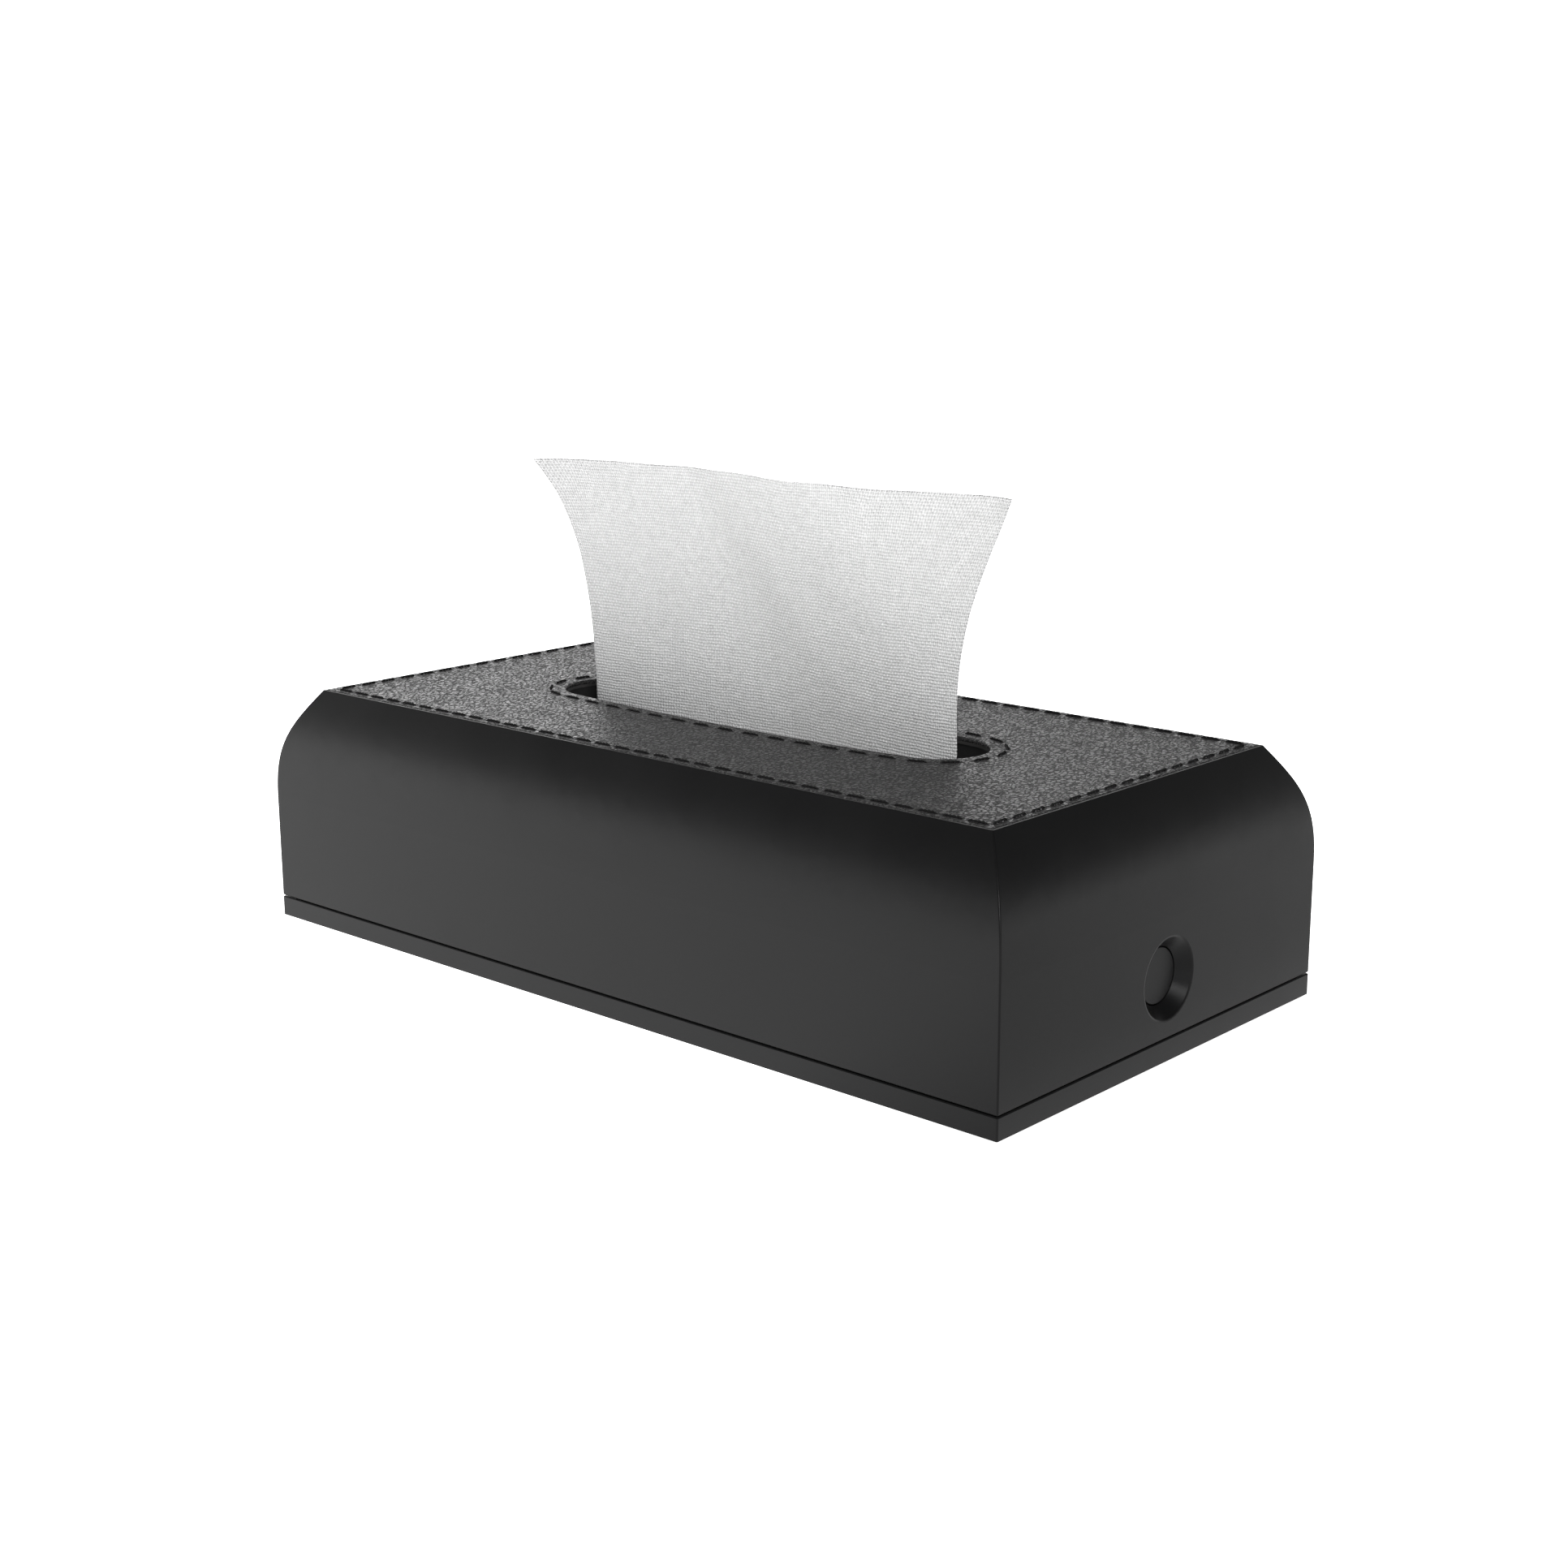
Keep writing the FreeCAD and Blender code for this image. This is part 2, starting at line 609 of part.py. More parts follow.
def with_button_seat(shell):
    """The end wall with its boss, screw pillars, finger dish and the button's bore."""
    wall_x = LENGTH / 2 - WALL / 2
    boss = cylinder(DISH_BOSS_RADIUS, wall_x - DISH_BOSS_X, Vector(DISH_BOSS_X, 0, BUTTON_Z), X_AXIS)
    pillar_x = GUIDE_BACK_X + GUIDE_THICKNESS
    pillars = []
    for y in (-PILLAR_Y, PILLAR_Y):
        base = Vector(pillar_x, y, BUTTON_Z)
        pillars.append(cylinder(PILLAR_RADIUS, wall_x - pillar_x, base, X_AXIS))
    shell = joined([shell, boss] + pillars)
    for y in (-PILLAR_Y, PILLAR_Y):
        pilot = Vector(GUIDE_BACK_X, y, BUTTON_Z)
        shell = shell.cut(cylinder(SCREW_RADIUS, SCREW_LENGTH, pilot, X_AXIS))
    bore_radius = BUTTON_RADIUS + BUTTON_GAP
    dish_base = Vector(LENGTH / 2 - DISH_DEPTH, 0, BUTTON_Z)
    dish = Part.makeCone(bore_radius, DISH_RADIUS, DISH_DEPTH, dish_base, X_AXIS)
    bore = cylinder(bore_radius, BIG / 4, Vector(GUIDE_BACK_X, 0, BUTTON_Z), X_AXIS)
    shell = shell.cut(dish).cut(bore)

    def is_dish_rim(edge):
        size = edge.BoundBox
        return size.XMin > LENGTH / 2 - 0.01 and abs(size.YLength - 2 * DISH_RADIUS) < 0.1

    return shell.makeFillet(DISH_RIM_RADIUS, edges_where(shell, is_dish_rim))


def panel_board(z_low, z_high):
    return centred_box(PANEL_LENGTH, PANEL_WIDTH, (z_low, z_high)).cut(slot_prism(0, z_low - 1, z_high + 1))


def leather_panel():
    panel = panel_board(BACKING_TOP_Z, LEATHER_TOP_Z)
    top_edges = edges_where(panel, lambda e: e.BoundBox.ZMin > LEATHER_TOP_Z - 0.01)
    return panel.makeFillet(LEATHER_EDGE_RADIUS, top_edges)


def panel_backing():
    return panel_board(POCKET_Z, BACKING_TOP_Z)


def slot_liner():
    inner = LINER_SETBACK
    outer = inner + LINER_WALL
    flange_z = DECK_UNDERSIDE_Z - LINER_FLANGE_THICKNESS
    collar = slot_prism(outer, LINER_BOTTOM_Z, POCKET_Z)
    flange = slot_prism(outer + LINER_FLANGE, flange_z, DECK_UNDERSIDE_Z)
    liner = joined([collar, flange]).cut(slot_prism(inner, LINER_BOTTOM_Z - 1, POCKET_Z + 1))
    low_rim = edges_where(liner, lambda e: e.BoundBox.ZMax < LINER_BOTTOM_Z + 0.01)
    return liner.makeFillet(LINER_EDGE_RADIUS, low_rim)


def perimeter_stitching():
    x = PANEL_LENGTH / 2 - EDGE_LINE_INSET
    y = PANEL_WIDTH / 2 - EDGE_LINE_INSET
    points = [Vector(-x, -y, 0), Vector(x, -y, 0), Vector(x, y, 0), Vector(-x, y, 0)]
    sides = [Part.makeLine(a, b) for a, b in zip(points, points[1:] + points[:1])]
    return stitches_along(sides, EDGE_PITCH, EDGE_STITCH)


def slot_stitching():
    return stitches_along(slot_wire(SLOT_LINE_OFFSET).Edges, SLOT_PITCH, SLOT_STITCH)


def button_guide():
    x = (GUIDE_BACK_X, GUIDE_BACK_X + GUIDE_THICKNESS)
    plate = box(x, (-GUIDE_HALF_WIDTH, GUIDE_HALF_WIDTH), (GUIDE_BOTTOM_Z, GUIDE_SHOULDER_Z))
    tab_y = (-GUIDE_TAB_HALF_WIDTH, GUIDE_TAB_HALF_WIDTH)
    tab = box(x, tab_y, (GUIDE_BOTTOM_Z, GUIDE_TAB_TOP_Z))
    plate = joined([plate, tab])

    def is_outer_corner(edge):
        size = edge.BoundBox
        along_x = size.XLength > 1 and size.YLength < 0.01 and size.ZLength < 0.01
        inner = abs(size.YMax) < GUIDE_TAB_HALF_WIDTH + 0.01 and size.ZMax < GUIDE_SHOULDER_Z + 0.01
        return along_x and not inner

    plate = plate.makeFillet(GUIDE_CORNER_RADIUS, edges_where(plate, is_outer_corner))
    neck_base = Vector(GUIDE_BACK_X - GUIDE_NECK_LENGTH, 0, BUTTON_Z)
    neck = cylinder(GUIDE_NECK_RADIUS, GUIDE_NECK_LENGTH + GUIDE_THICKNESS, neck_base, X_AXIS)
    guide = joined([plate, neck])
    behind_x = GUIDE_BACK_X - GUIDE_NECK_LENGTH - 1
    holes = [(STEM_RADIUS + RUNNING_CLEARANCE, 0, BUTTON_Z)]
    holes += [(SCREW_RADIUS, y, BUTTON_Z) for y in (-PILLAR_Y, PILLAR_Y)]
    holes += [(SCREW_RADIUS, y, LATCH_SCREW_Z) for y in (-LATCH_SCREW_Y, LATCH_SCREW_Y)]
    for radius, y, z in holes:
        guide = guide.cut(cylinder(radius, BIG, Vector(behind_x, y, z), X_AXIS))
    return guide


def latch_spring():
    foot_x = GUIDE_BACK_X - LATCH_THICKNESS / 2
    foot_low, foot_high = LATCH_FOOT_Z
    points = [
        Vector(foot_x, 0, foot_high),
        Vector(foot_x, 0, foot_low),
        Vector(LATCH_X, 0, LATCH_STRAIGHT_Z),
        Vector(LATCH_X, 0, LATCH_LOW_Z),
        Vector(LATCH_X + BARB_REACH, 0, LATCH_LOW_Z + BARB_RISE),
    ]
    strip = folded_strip(points, LATCH_BEND_RADIUS, LATCH_THICKNESS, LATCH_HALF_WIDTH)
    for y in (-LATCH_SCREW_Y, LATCH_SCREW_Y):
        hole = cylinder(SCREW_RADIUS, 4, Vector(foot_x - 2, y, LATCH_SCREW_Z), X_AXIS)
        strip = strip.cut(hole)
    return strip


def latch_screws():
    screw = pan_screw(SCREW_RADIUS, LATCH_THICKNESS + GUIDE_THICKNESS, X_AXIS)
    head_x = GUIDE_BACK_X - LATCH_THICKNESS
    places = [-LATCH_SCREW_Y, LATCH_SCREW_Y]
    return Part.makeCompound([placed(screw, head_x, y, LATCH_SCREW_Z) for y in places])


def button_guide_screws():
    screw = pan_screw(SCREW_RADIUS, SCREW_LENGTH, X_AXIS)
    places = [-PILLAR_Y, PILLAR_Y]
    return Part.makeCompound([placed(screw, GUIDE_BACK_X, y, BUTTON_Z) for y in places])


def button_spring():
    flange_back = DISH_BOSS_X - FLANGE_PLAY - FLANGE_THICKNESS
    seat = GUIDE_BACK_X + GUIDE_THICKNESS + SEAT_CLEARANCE
    length = flange_back - SEAT_CLEARANCE - seat
    spring = coil_spring(BUTTON_SPRING_RADIUS, BUTTON_SPRING_WIRE, length, BUTTON_SPRING_TURNS)
    spring.rotate(Vector(0, 0, 0), Y_AXIS, 90)
    spring.translate(Vector(seat, 0, BUTTON_Z))
    return spring


def release_button():
    face_x = LENGTH / 2 - DISH_DEPTH
    flange_x = DISH_BOSS_X - FLANGE_PLAY - FLANGE_THICKNESS
    cap = cylinder(BUTTON_RADIUS, face_x - flange_x, Vector(flange_x, 0, BUTTON_Z), X_AXIS)
    rim = edges_where(cap, lambda e: e.BoundBox.XMin > face_x - 0.01)
    cap = cap.makeFillet(BUTTON_EDGE_RADIUS, rim)
    flange = cylinder(FLANGE_RADIUS, FLANGE_THICKNESS, Vector(flange_x, 0, BUTTON_Z), X_AXIS)
    stem_length = flange_x + 1 - STEM_END_X
    stem = cylinder(STEM_RADIUS, stem_length, Vector(STEM_END_X, 0, BUTTON_Z), X_AXIS)
    tip = edges_where(stem, lambda e: e.BoundBox.XMax < STEM_END_X + 0.01)
    stem = stem.makeFillet(BUTTON_EDGE_RADIUS, tip)
    return joined([cap, flange, stem])


# Node of the loose napkin


def napkin_sheet():
    """The napkin that stands in the slot: waved in plan, and flared above the slot."""
    half_waves = SHEET_WAVES
    start_x = -SHEET_WAVE_CHORD * half_waves / 2
    edges = []
    for i in range(half_waves):
        x = start_x + i * SHEET_WAVE_CHORD
        bulge = SHEET_WAVE_HEIGHT * (-1) ** i
        first = Vector(x, 0, 0)
        middle = Vector(x + SHEET_WAVE_CHORD / 2, bulge, 0)
        last = Vector(x + SHEET_WAVE_CHORD, 0, 0)
        edges.append(Part.Arc(first, middle, last).toShape())
    outline = Part.Wire(edges).makeOffset2D(SHEET_THICKNESS / 2)
    outline.translate(Vector(0, 0, SHEET_BOTTOM_Z - 1))
    ribbon = Part.Face(outline).extrude(Vector(0, 0, SHEET_TOP_Z - SHEET_BOTTOM_Z + 2))

    def flare(sign):
        low = Vector(sign * SHEET_SLOT_HALF, 0, SHEET_FLARE_Z)
        high = Vector(sign * SHEET_TOP_HALF, 0, SHEET_TOP_Z)
        middle_x = SHEET_SLOT_HALF + (SHEET_TOP_HALF - SHEET_SLOT_HALF) * 0.38
        middle = Vector(sign * middle_x, 0, (SHEET_FLARE_Z + SHEET_TOP_Z) / 2)
        return Part.Arc(low, middle, high).toShape()

    right_low = Vector(SHEET_SLOT_HALF, 0, SHEET_BOTTOM_Z)
    left_low = Vector(-SHEET_SLOT_HALF, 0, SHEET_BOTTOM_Z)
    front = [
        Part.makeLine(left_low, right_low),
        Part.makeLine(right_low, Vector(SHEET_SLOT_HALF, 0, SHEET_FLARE_Z)),
        flare(1),
        Part.makeLine(Vector(SHEET_TOP_HALF, 0, SHEET_TOP_Z), Vector(-SHEET_TOP_HALF, 0, SHEET_TOP_Z)),
        flare(-1),
        Part.makeLine(Vector(-SHEET_SLOT_HALF, 0, SHEET_FLARE_Z), left_low),
    ]
    face = Part.Face(Part.Wire(Part.__sortEdges__(front)))
    face.translate(Vector(0, -WIDTH / 2, 0))
    return ribbon.common(face.extrude(Vector(0, WIDTH, 0)))


NODES = (
    base_plate,
    rubber_feet,
    hinge_pins,
    latch_keeper,
    keeper_screws,
    guide_posts,
    post_caps,
    lift_springs,
    lift_plate,
    guide_bushes,
    napkin_stack,
    cover_shell,
    leather_panel,
    panel_backing,
    slot_liner,
    perimeter_stitching,
    slot_stitching,
    button_guide,
    button_guide_screws,
    latch_spring,
    latch_screws,
    button_spring,
    release_button,
    napkin_sheet,
)

os.makedirs("parts", exist_ok=True)
for make in NODES:
    shape = make()
    shape.exportStep(f"parts/{make.__name__}.step")
    print(make.__name__, len(shape.Solids), "solids", round(shape.Volume), "mm3", shape.isValid())
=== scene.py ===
import math

import bmesh
import bpy
import numpy as np
from mathutils import Matrix, Vector, noise


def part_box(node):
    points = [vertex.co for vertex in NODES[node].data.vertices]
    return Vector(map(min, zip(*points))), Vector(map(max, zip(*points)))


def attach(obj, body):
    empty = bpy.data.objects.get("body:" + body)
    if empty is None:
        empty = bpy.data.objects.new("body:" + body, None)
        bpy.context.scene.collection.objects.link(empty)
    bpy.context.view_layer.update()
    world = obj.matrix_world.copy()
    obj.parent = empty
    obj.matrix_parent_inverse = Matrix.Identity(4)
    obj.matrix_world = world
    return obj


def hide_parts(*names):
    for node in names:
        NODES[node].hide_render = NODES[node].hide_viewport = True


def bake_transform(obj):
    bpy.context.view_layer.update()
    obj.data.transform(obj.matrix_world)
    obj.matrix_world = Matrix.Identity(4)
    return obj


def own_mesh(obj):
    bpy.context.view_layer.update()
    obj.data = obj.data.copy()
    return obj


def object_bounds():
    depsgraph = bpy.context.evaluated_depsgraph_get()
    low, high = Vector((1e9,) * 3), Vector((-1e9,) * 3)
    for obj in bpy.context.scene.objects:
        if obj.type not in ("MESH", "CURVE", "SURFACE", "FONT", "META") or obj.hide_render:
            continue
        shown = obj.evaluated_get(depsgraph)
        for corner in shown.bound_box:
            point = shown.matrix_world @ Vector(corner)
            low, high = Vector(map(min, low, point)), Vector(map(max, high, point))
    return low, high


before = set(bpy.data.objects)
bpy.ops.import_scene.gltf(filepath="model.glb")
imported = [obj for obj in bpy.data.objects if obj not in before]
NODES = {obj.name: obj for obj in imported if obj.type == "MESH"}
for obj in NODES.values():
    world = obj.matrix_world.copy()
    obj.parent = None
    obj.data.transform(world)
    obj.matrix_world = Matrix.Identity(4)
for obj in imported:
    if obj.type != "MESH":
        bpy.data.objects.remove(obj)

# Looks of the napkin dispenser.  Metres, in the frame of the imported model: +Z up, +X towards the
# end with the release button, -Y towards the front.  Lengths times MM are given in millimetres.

MM = 0.001
CAD_LOW, CAD_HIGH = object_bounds()

# The camera looks at a point over the base, a little behind its middle.
CAMERA_TARGET = Vector((0.0, 7.3, 45.5)) * MM
CAMERA_DISTANCE = 600.6 * MM
CAMERA_AZIMUTH = math.radians(42.17)
CAMERA_ELEVATION = math.radians(13.56)
CAMERA_ROLL = math.radians(-0.2)
CAMERA_LENS = 52.27
CAMERA_SENSOR = 36.0

# The slot: two long side arcs joined by tangent end arcs.  The stitch ring round it is a
# constant distance outside its edge, so the ring's box gives the slot's size.
SLOT_SIDE_RADIUS = 600 * MM
SLOT_LINE_OFFSET = 4 * MM
SLOT_STITCH_PITCH = 8.2 * MM
EDGE_LINE_INSET = 2.5 * MM
EDGE_STITCH_PITCH = 6.8 * MM
CAD_THREAD_RADIUS = 0.45 * MM
STITCH_LENGTH = 5.25 * MM

GUIDE_POST_RADIUS = 2.0 * MM

# The standing napkin: half its width in the slot and at the top, and its thickness
SHEET_SLOT_HALF = 63.0 * MM
SHEET_TOP_HALF = 78.6 * MM
SHEET_THICKNESS = 0.28 * MM

# The studio's brightness.  HEIGHT_STOPS goes by the sine of the height above the horizon, and
# AROUND_STOPS from 0, away from the bright side, to 1, towards it; the two are multiplied.
# Low down it is never darker than HORIZON_STOPS, again by the sine of the height.
BRIGHT_SIDE = (-1.0, 0.0, 0.0)
HEIGHT_STOPS = ((0.0, 1.1), (0.17, 1.05), (0.28, 0.8), (0.40, 0.22), (0.54, 0.06), (1.0, 0.03))
AROUND_STOPS = ((0.0, 0.2), (0.2, 0.25), (0.5, 0.6), (0.69, 1.1), (0.78, 1.7), (0.88, 3.5), (1.0, 3.2))
HORIZON_STOPS = ((0.0, 1.0), (0.12, 1.0), (0.24, 0.0))

KEY_PLACE = (1.12, -0.78, 0.96)
KEY_TARGET = (0, 0, 0.07)
KEY_SIZE = (0.9, 0.8)
KEY_POWER = 24

# The floor glows, a painted light that lights the box and shows in its faces: by GLOW_LEFT on the left,
# falling to GLOW_RIGHT past the button end, and by FAR_GLOW more far from the box
FLOOR_HALF_SIZE = 60.0
GLOW_LEFT, GLOW_RIGHT = 2.1, 0.5
GLOW_FALLS_FROM, GLOW_FALLS_TO = 60 * MM, 150 * MM
FAR_GLOW = 0.9
FAR_FROM, FAR_TO = 0.2, 0.8


# Mesh helpers


def add_object(name, vertices, faces, material, smooth=True):
    """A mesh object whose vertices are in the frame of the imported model."""
    mesh = bpy.data.meshes.new(name)
    mesh.from_pydata([tuple(v) for v in vertices], [], [tuple(f) for f in faces])
    mesh.validate()
    mesh.polygons.foreach_set("use_smooth", [smooth] * len(mesh.polygons))
    mesh.materials.append(material)
    piece = bpy.data.objects.new(name, mesh)
    bpy.context.scene.collection.objects.link(piece)
    return piece


def grid_faces(rows, columns, closed_columns=False):
    """Quads of a grid of points stored row by row."""
    faces = []
    for i in range(rows - 1):
        row = i * columns
        above = row + columns
        for j in range(columns if closed_columns else columns - 1):
            k = (j + 1) % columns
            faces.append((row + j, row + k, above + k, above + j))
    return faces


def tube(path, radius, sides):
    """Vertices and faces of a closed round tube along a list of points."""
    path = np.array(path)
    tangents = np.gradient(path, axis=0)
    tangents /= np.linalg.norm(tangents, axis=1)[:, None]
    up = np.array([0.0, 0.0, 1.0])
    if abs(tangents[0] @ up) > 0.9:
        up = np.array([1.0, 0.0, 0.0])
    side = np.cross(tangents[0], up)
    vertices = []
    for point, tangent in zip(path, tangents):
        side = side - (side @ tangent) * tangent
        side /= np.linalg.norm(side)
        other = np.cross(tangent, side)
        for k in range(sides):
            turn = 2 * math.pi * k / sides
            vertices.append(point + radius * (math.cos(turn) * side + math.sin(turn) * other))
    faces = grid_faces(len(path), sides, closed_columns=True)
    last = (len(path) - 1) * sides
    faces.append(tuple(reversed(range(sides))))
    faces.append(tuple(last + k for k in range(sides)))
    return vertices, faces


class Parts:
    """Collects the vertices and faces of several shapes into one mesh."""

    def __init__(self):
        self.vertices = []
        self.faces = []

    def add(self, vertices, faces):
        first = len(self.vertices)
        self.vertices.extend(vertices)
        self.faces.extend([tuple(first + i for i in face) for face in faces])


def smooth_step(low, high, value):
    """0 below low, 1 above high and an even curve between."""
    t = np.clip((value - low) / (high - low), 0, 1)
    return t * t * (3 - 2 * t)


# Materials


class Shader:
    """A Principled material and short ways to add nodes to it."""

    def __init__(self, name, colour, roughness, **sockets):
        self.material = bpy.data.materials.new(name)
        self.material.use_nodes = True
        self.tree = self.material.node_tree
        self.surface = self.tree.nodes["Principled BSDF"]
        self.surface.inputs["Base Color"].default_value = (*colour, 1)
        self.surface.inputs["Roughness"].default_value = roughness
        for socket, value in sockets.items():
            self.surface.inputs[socket.replace("_", " ")].default_value = value
        self.position = self.add("ShaderNodeTexCoord").outputs["Object"]

    def add(self, kind, inputs=None, **settings):
        node = self.tree.nodes.new(kind)
        for name, value in settings.items():
            setattr(node, name, value)
        for name, value in (inputs or {}).items():
            if isinstance(value, bpy.types.NodeSocket):
                self.tree.links.new(value, node.inputs[name])
            else:
                node.inputs[name].default_value = value
        return node

    def drive(self, socket, value):
        """Links a node's output to one of the surface's sockets."""
        self.tree.links.new(value, self.surface.inputs[socket])

    def placed(self, scale=(1, 1, 1), turn=(0, 0, 0), of=None):
        """The position, scaled and then turned."""
        inputs = {"Vector": of or self.position, "Rotation": turn, "Scale": scale}
        return self.add("ShaderNodeMapping", inputs).outputs["Vector"]

    def noise(self, scale, detail, of=None):
        """Soft noise, 0 to 1, with scale as its cells to the metre."""
        inputs = {"Vector": of or self.position, "Scale": scale, "Detail": detail}
        return self.add("ShaderNodeTexNoise", inputs).outputs["Fac"]

    def pulled(self, of, scale, detail, amount):
        """A place pulled out of line by noise, by up to the amount along each axis."""
        inputs = {"Vector": of, "Scale": scale, "Detail": detail}
        colour = self.add("ShaderNodeTexNoise", inputs).outputs["Color"]
        pull = self.add("ShaderNodeVectorMath", {0: colour, 1: amount}, operation="MULTIPLY")
        moved = self.add("ShaderNodeVectorMath", {0: of, 1: pull.outputs["Vector"]}, operation="ADD")
        return moved.outputs["Vector"]

    def wave(self, value, pitch):
        """A cosine that repeats every pitch."""
        return self.math("COSINE", self.math("MULTIPLY", value, 2 * math.pi / pitch))

    def edges(self, of, scale):
        """Distance to the borders of irregular cells, in cells."""
        inputs = {"Vector": of, "Scale": scale, "Randomness": 1.0}
        return self.add("ShaderNodeTexVoronoi", inputs, feature="DISTANCE_TO_EDGE").outputs["Distance"]

    def math(self, operation, a, b=0.0, c=0.0):
        return self.add("ShaderNodeMath", {0: a, 1: b, 2: c}, operation=operation).outputs[0]

    def span(self, value, low, high, to_low, to_high):
        """Maps low..high to to_low..to_high and holds the ends."""
        inputs = {
            "Value": value,
            "From Min": low,
            "From Max": high,
            "To Min": to_low,
            "To Max": to_high,
        }
        return self.add("ShaderNodeMapRange", inputs).outputs["Result"]

    def mix(self, factor, dark, light):
        """From the dark colour at 0 to the light one at 1."""
        node = self.add("ShaderNodeMix", {"Factor": factor}, data_type="RGBA")
        node.inputs[6].default_value = (*dark, 1)
        node.inputs[7].default_value = (*light, 1)
        return node.outputs[2]

    def bump(self, height, strength, distance):
        """Adds to the bump that is already there."""
        inputs = {"Height": height, "Strength": strength, "Distance": distance}
        before = self.surface.inputs["Normal"].links
        if before:
            inputs["Normal"] = before[0].from_socket
        self.drive("Normal", self.add("ShaderNodeBump", inputs).outputs["Normal"])


def grey(level):
    return (level, level, level)


def moulded_plastic(name, dark, light, roughness):
    """Black moulded plastic: a fine spark-eroded texture, and a little variation in gloss."""
    shader = Shader(name, dark, roughness, Specular_IOR_Level=0.12)
    cloud = shader.noise(18, 4)
    shader.drive("Base Color", shader.mix(cloud, dark, light))
    gloss = shader.noise(45, 5)
    shader.drive("Roughness", shader.span(gloss, 0.3, 0.7, roughness - 0.03, roughness + 0.04))
    erosion = shader.noise(2600, 2)
    shader.bump(erosion, 0.10, 0.05 * MM)
    unevenness = shader.noise(320, 3)
    shader.bump(unevenness, 0.04, 0.08 * MM)
    return shader.material


def leather():
    """Black leather: raised pebbles about a millimetre across, with creases between that are painted
    darker, as painted shade.
    """
    pebbles_per_metre = 1000.0
    crumbs_per_metre = 2000.0
    grain_turn = (0, 0, math.radians(-42))
    shader = Shader("grained_leather", grey(0.01), 0.3, Specular_IOR_Level=0.6)
    bent = shader.pulled(shader.position, 700.0, 3.0, (1.5 * MM, 1.5 * MM, 0.0))
    pebble_place = shader.placed(scale=(1.0, 0.62, 1.0), turn=grain_turn, of=bent)
    crumb_place = shader.placed(scale=(1.0, 0.7, 1.0), turn=grain_turn, of=bent)
    pebble = shader.span(shader.edges(pebble_place, pebbles_per_metre), 0.0, 0.26, 0.0, 1.0)
    crumb = shader.span(shader.edges(crumb_place, crumbs_per_metre), 0.0, 0.2, 0.0, 1.0)
    height = shader.math("MULTIPLY_ADD", crumb, 0.35, pebble)
    swell = shader.noise(60, 3)
    shader.bump(swell, 0.2, 0.4 * MM)
    shader.bump(height, 1.0, 0.15 * MM)
    # Painted shade: the colour goes darker down into the creases between the pebbles, which are rougher
    # there too.
    depth = shader.span(height, 0.25, 1.1, 0.0, 1.0)
    shader.drive("Base Color", shader.mix(depth, grey(0.002), (0.018, 0.0175, 0.017)))
    shader.drive("Roughness", shader.span(depth, 0.0, 1.0, 0.75, 0.29))
    return shader.material


def thread():
    """Waxed black thread with loose fibres."""
    shader = Shader("black_thread", grey(0.003), 0.7, Specular_IOR_Level=0.2)
    fibres = shader.noise(4000, 4, of=shader.placed(scale=(1, 1, 0.3)))
    shader.drive("Base Color", shader.mix(fibres, grey(0.0015), grey(0.008)))
    shader.bump(fibres, 0.4, 0.06 * MM)
    return shader.material


def embossed_paper():
    """White soft paper, embossed all over like plain-woven linen, with painted shade in the embossing's
    hollows, painted light on its knots, and slubs of uneven tone.
    """
    knot_width = 1.4 * MM
    knot_height = 1.6 * MM
    shader = Shader("embossed_napkin", grey(0.78), 0.85, Specular_IOR_Level=0.25)
    place = shader.add("ShaderNodeUVMap", uv_map="cloth").outputs["UV"]
    cloth = shader.pulled(place, 90.0, 2.0, (1.6 * MM, 1.2 * MM, 0.0))
    axes = shader.add("ShaderNodeSeparateXYZ", {"Vector": cloth}).outputs
    across = shader.wave(axes["X"], knot_width)
    along = shader.wave(axes["Y"], knot_height)
    knots = shader.span(shader.math("MULTIPLY", across, along), -1.0, 1.0, 0.0, 1.0)
    lines = shader.wave(axes["X"], knot_width / 2)
    rows = shader.wave(axes["Y"], knot_height / 2)
    grid = shader.span(shader.math("ADD", rows, lines), -2.0, 2.0, 0.0, 1.0)
    weave = shader.math("MULTIPLY_ADD", knots, 0.5, grid)
    slubs = shader.noise(420, 3, of=cloth)
    shader.bump(weave, 1.0, 0.4 * MM)
    shader.bump(slubs, 0.6, 0.12 * MM)
    # Painted shade and light: the weave's hollows are coloured darker and its knots lighter, on top of the
    # slubs' uneven tone.
    weave_shade_and_slub_tone = shader.math("MULTIPLY_ADD", slubs, 0.3, shader.math("MULTIPLY", weave, 0.5))
    lit_weave_and_slub_tone = shader.span(weave_shade_and_slub_tone, 0.2, 0.75, 0.0, 1.0)
    shader.drive("Base Color", shader.mix(lit_weave_and_slub_tone, grey(0.42), grey(0.74)))
    return shader.material


def stacked_paper():
    """White soft paper seen on its cut and folded edges, with thin layers along Z."""
    shader = Shader("stacked_napkins", grey(0.78), 0.85, Specular_IOR_Level=0.25)
    layers = shader.noise(900, 3, of=shader.placed(scale=(0.05, 0.05, 1.0)))
    shader.drive("Base Color", shader.mix(layers, (0.76, 0.76, 0.75), (0.9, 0.9, 0.89)))
    fibres = shader.noise(1500, 4)
    shader.bump(fibres, 0.4, 0.1 * MM)
    return shader.material


def metal(name, colour, roughness, stretch=(1, 1, 1), grain=1800):
    """Bare or plated metal with drawing or rolling marks along the stretched axis."""
    shader = Shader(name, colour, roughness, Metallic=1.0)
    marks = shader.noise(grain, 4, of=shader.placed(scale=stretch))
    shader.drive("Roughness", shader.span(marks, 0.25, 0.75, roughness - 0.08, roughness + 0.12))
    darker = tuple(0.8 * c for c in colour)
    shader.drive("Base Color", shader.mix(shader.noise(70, 4), darker, colour))
    shader.bump(marks, 0.12, 0.02 * MM)
    return shader.material


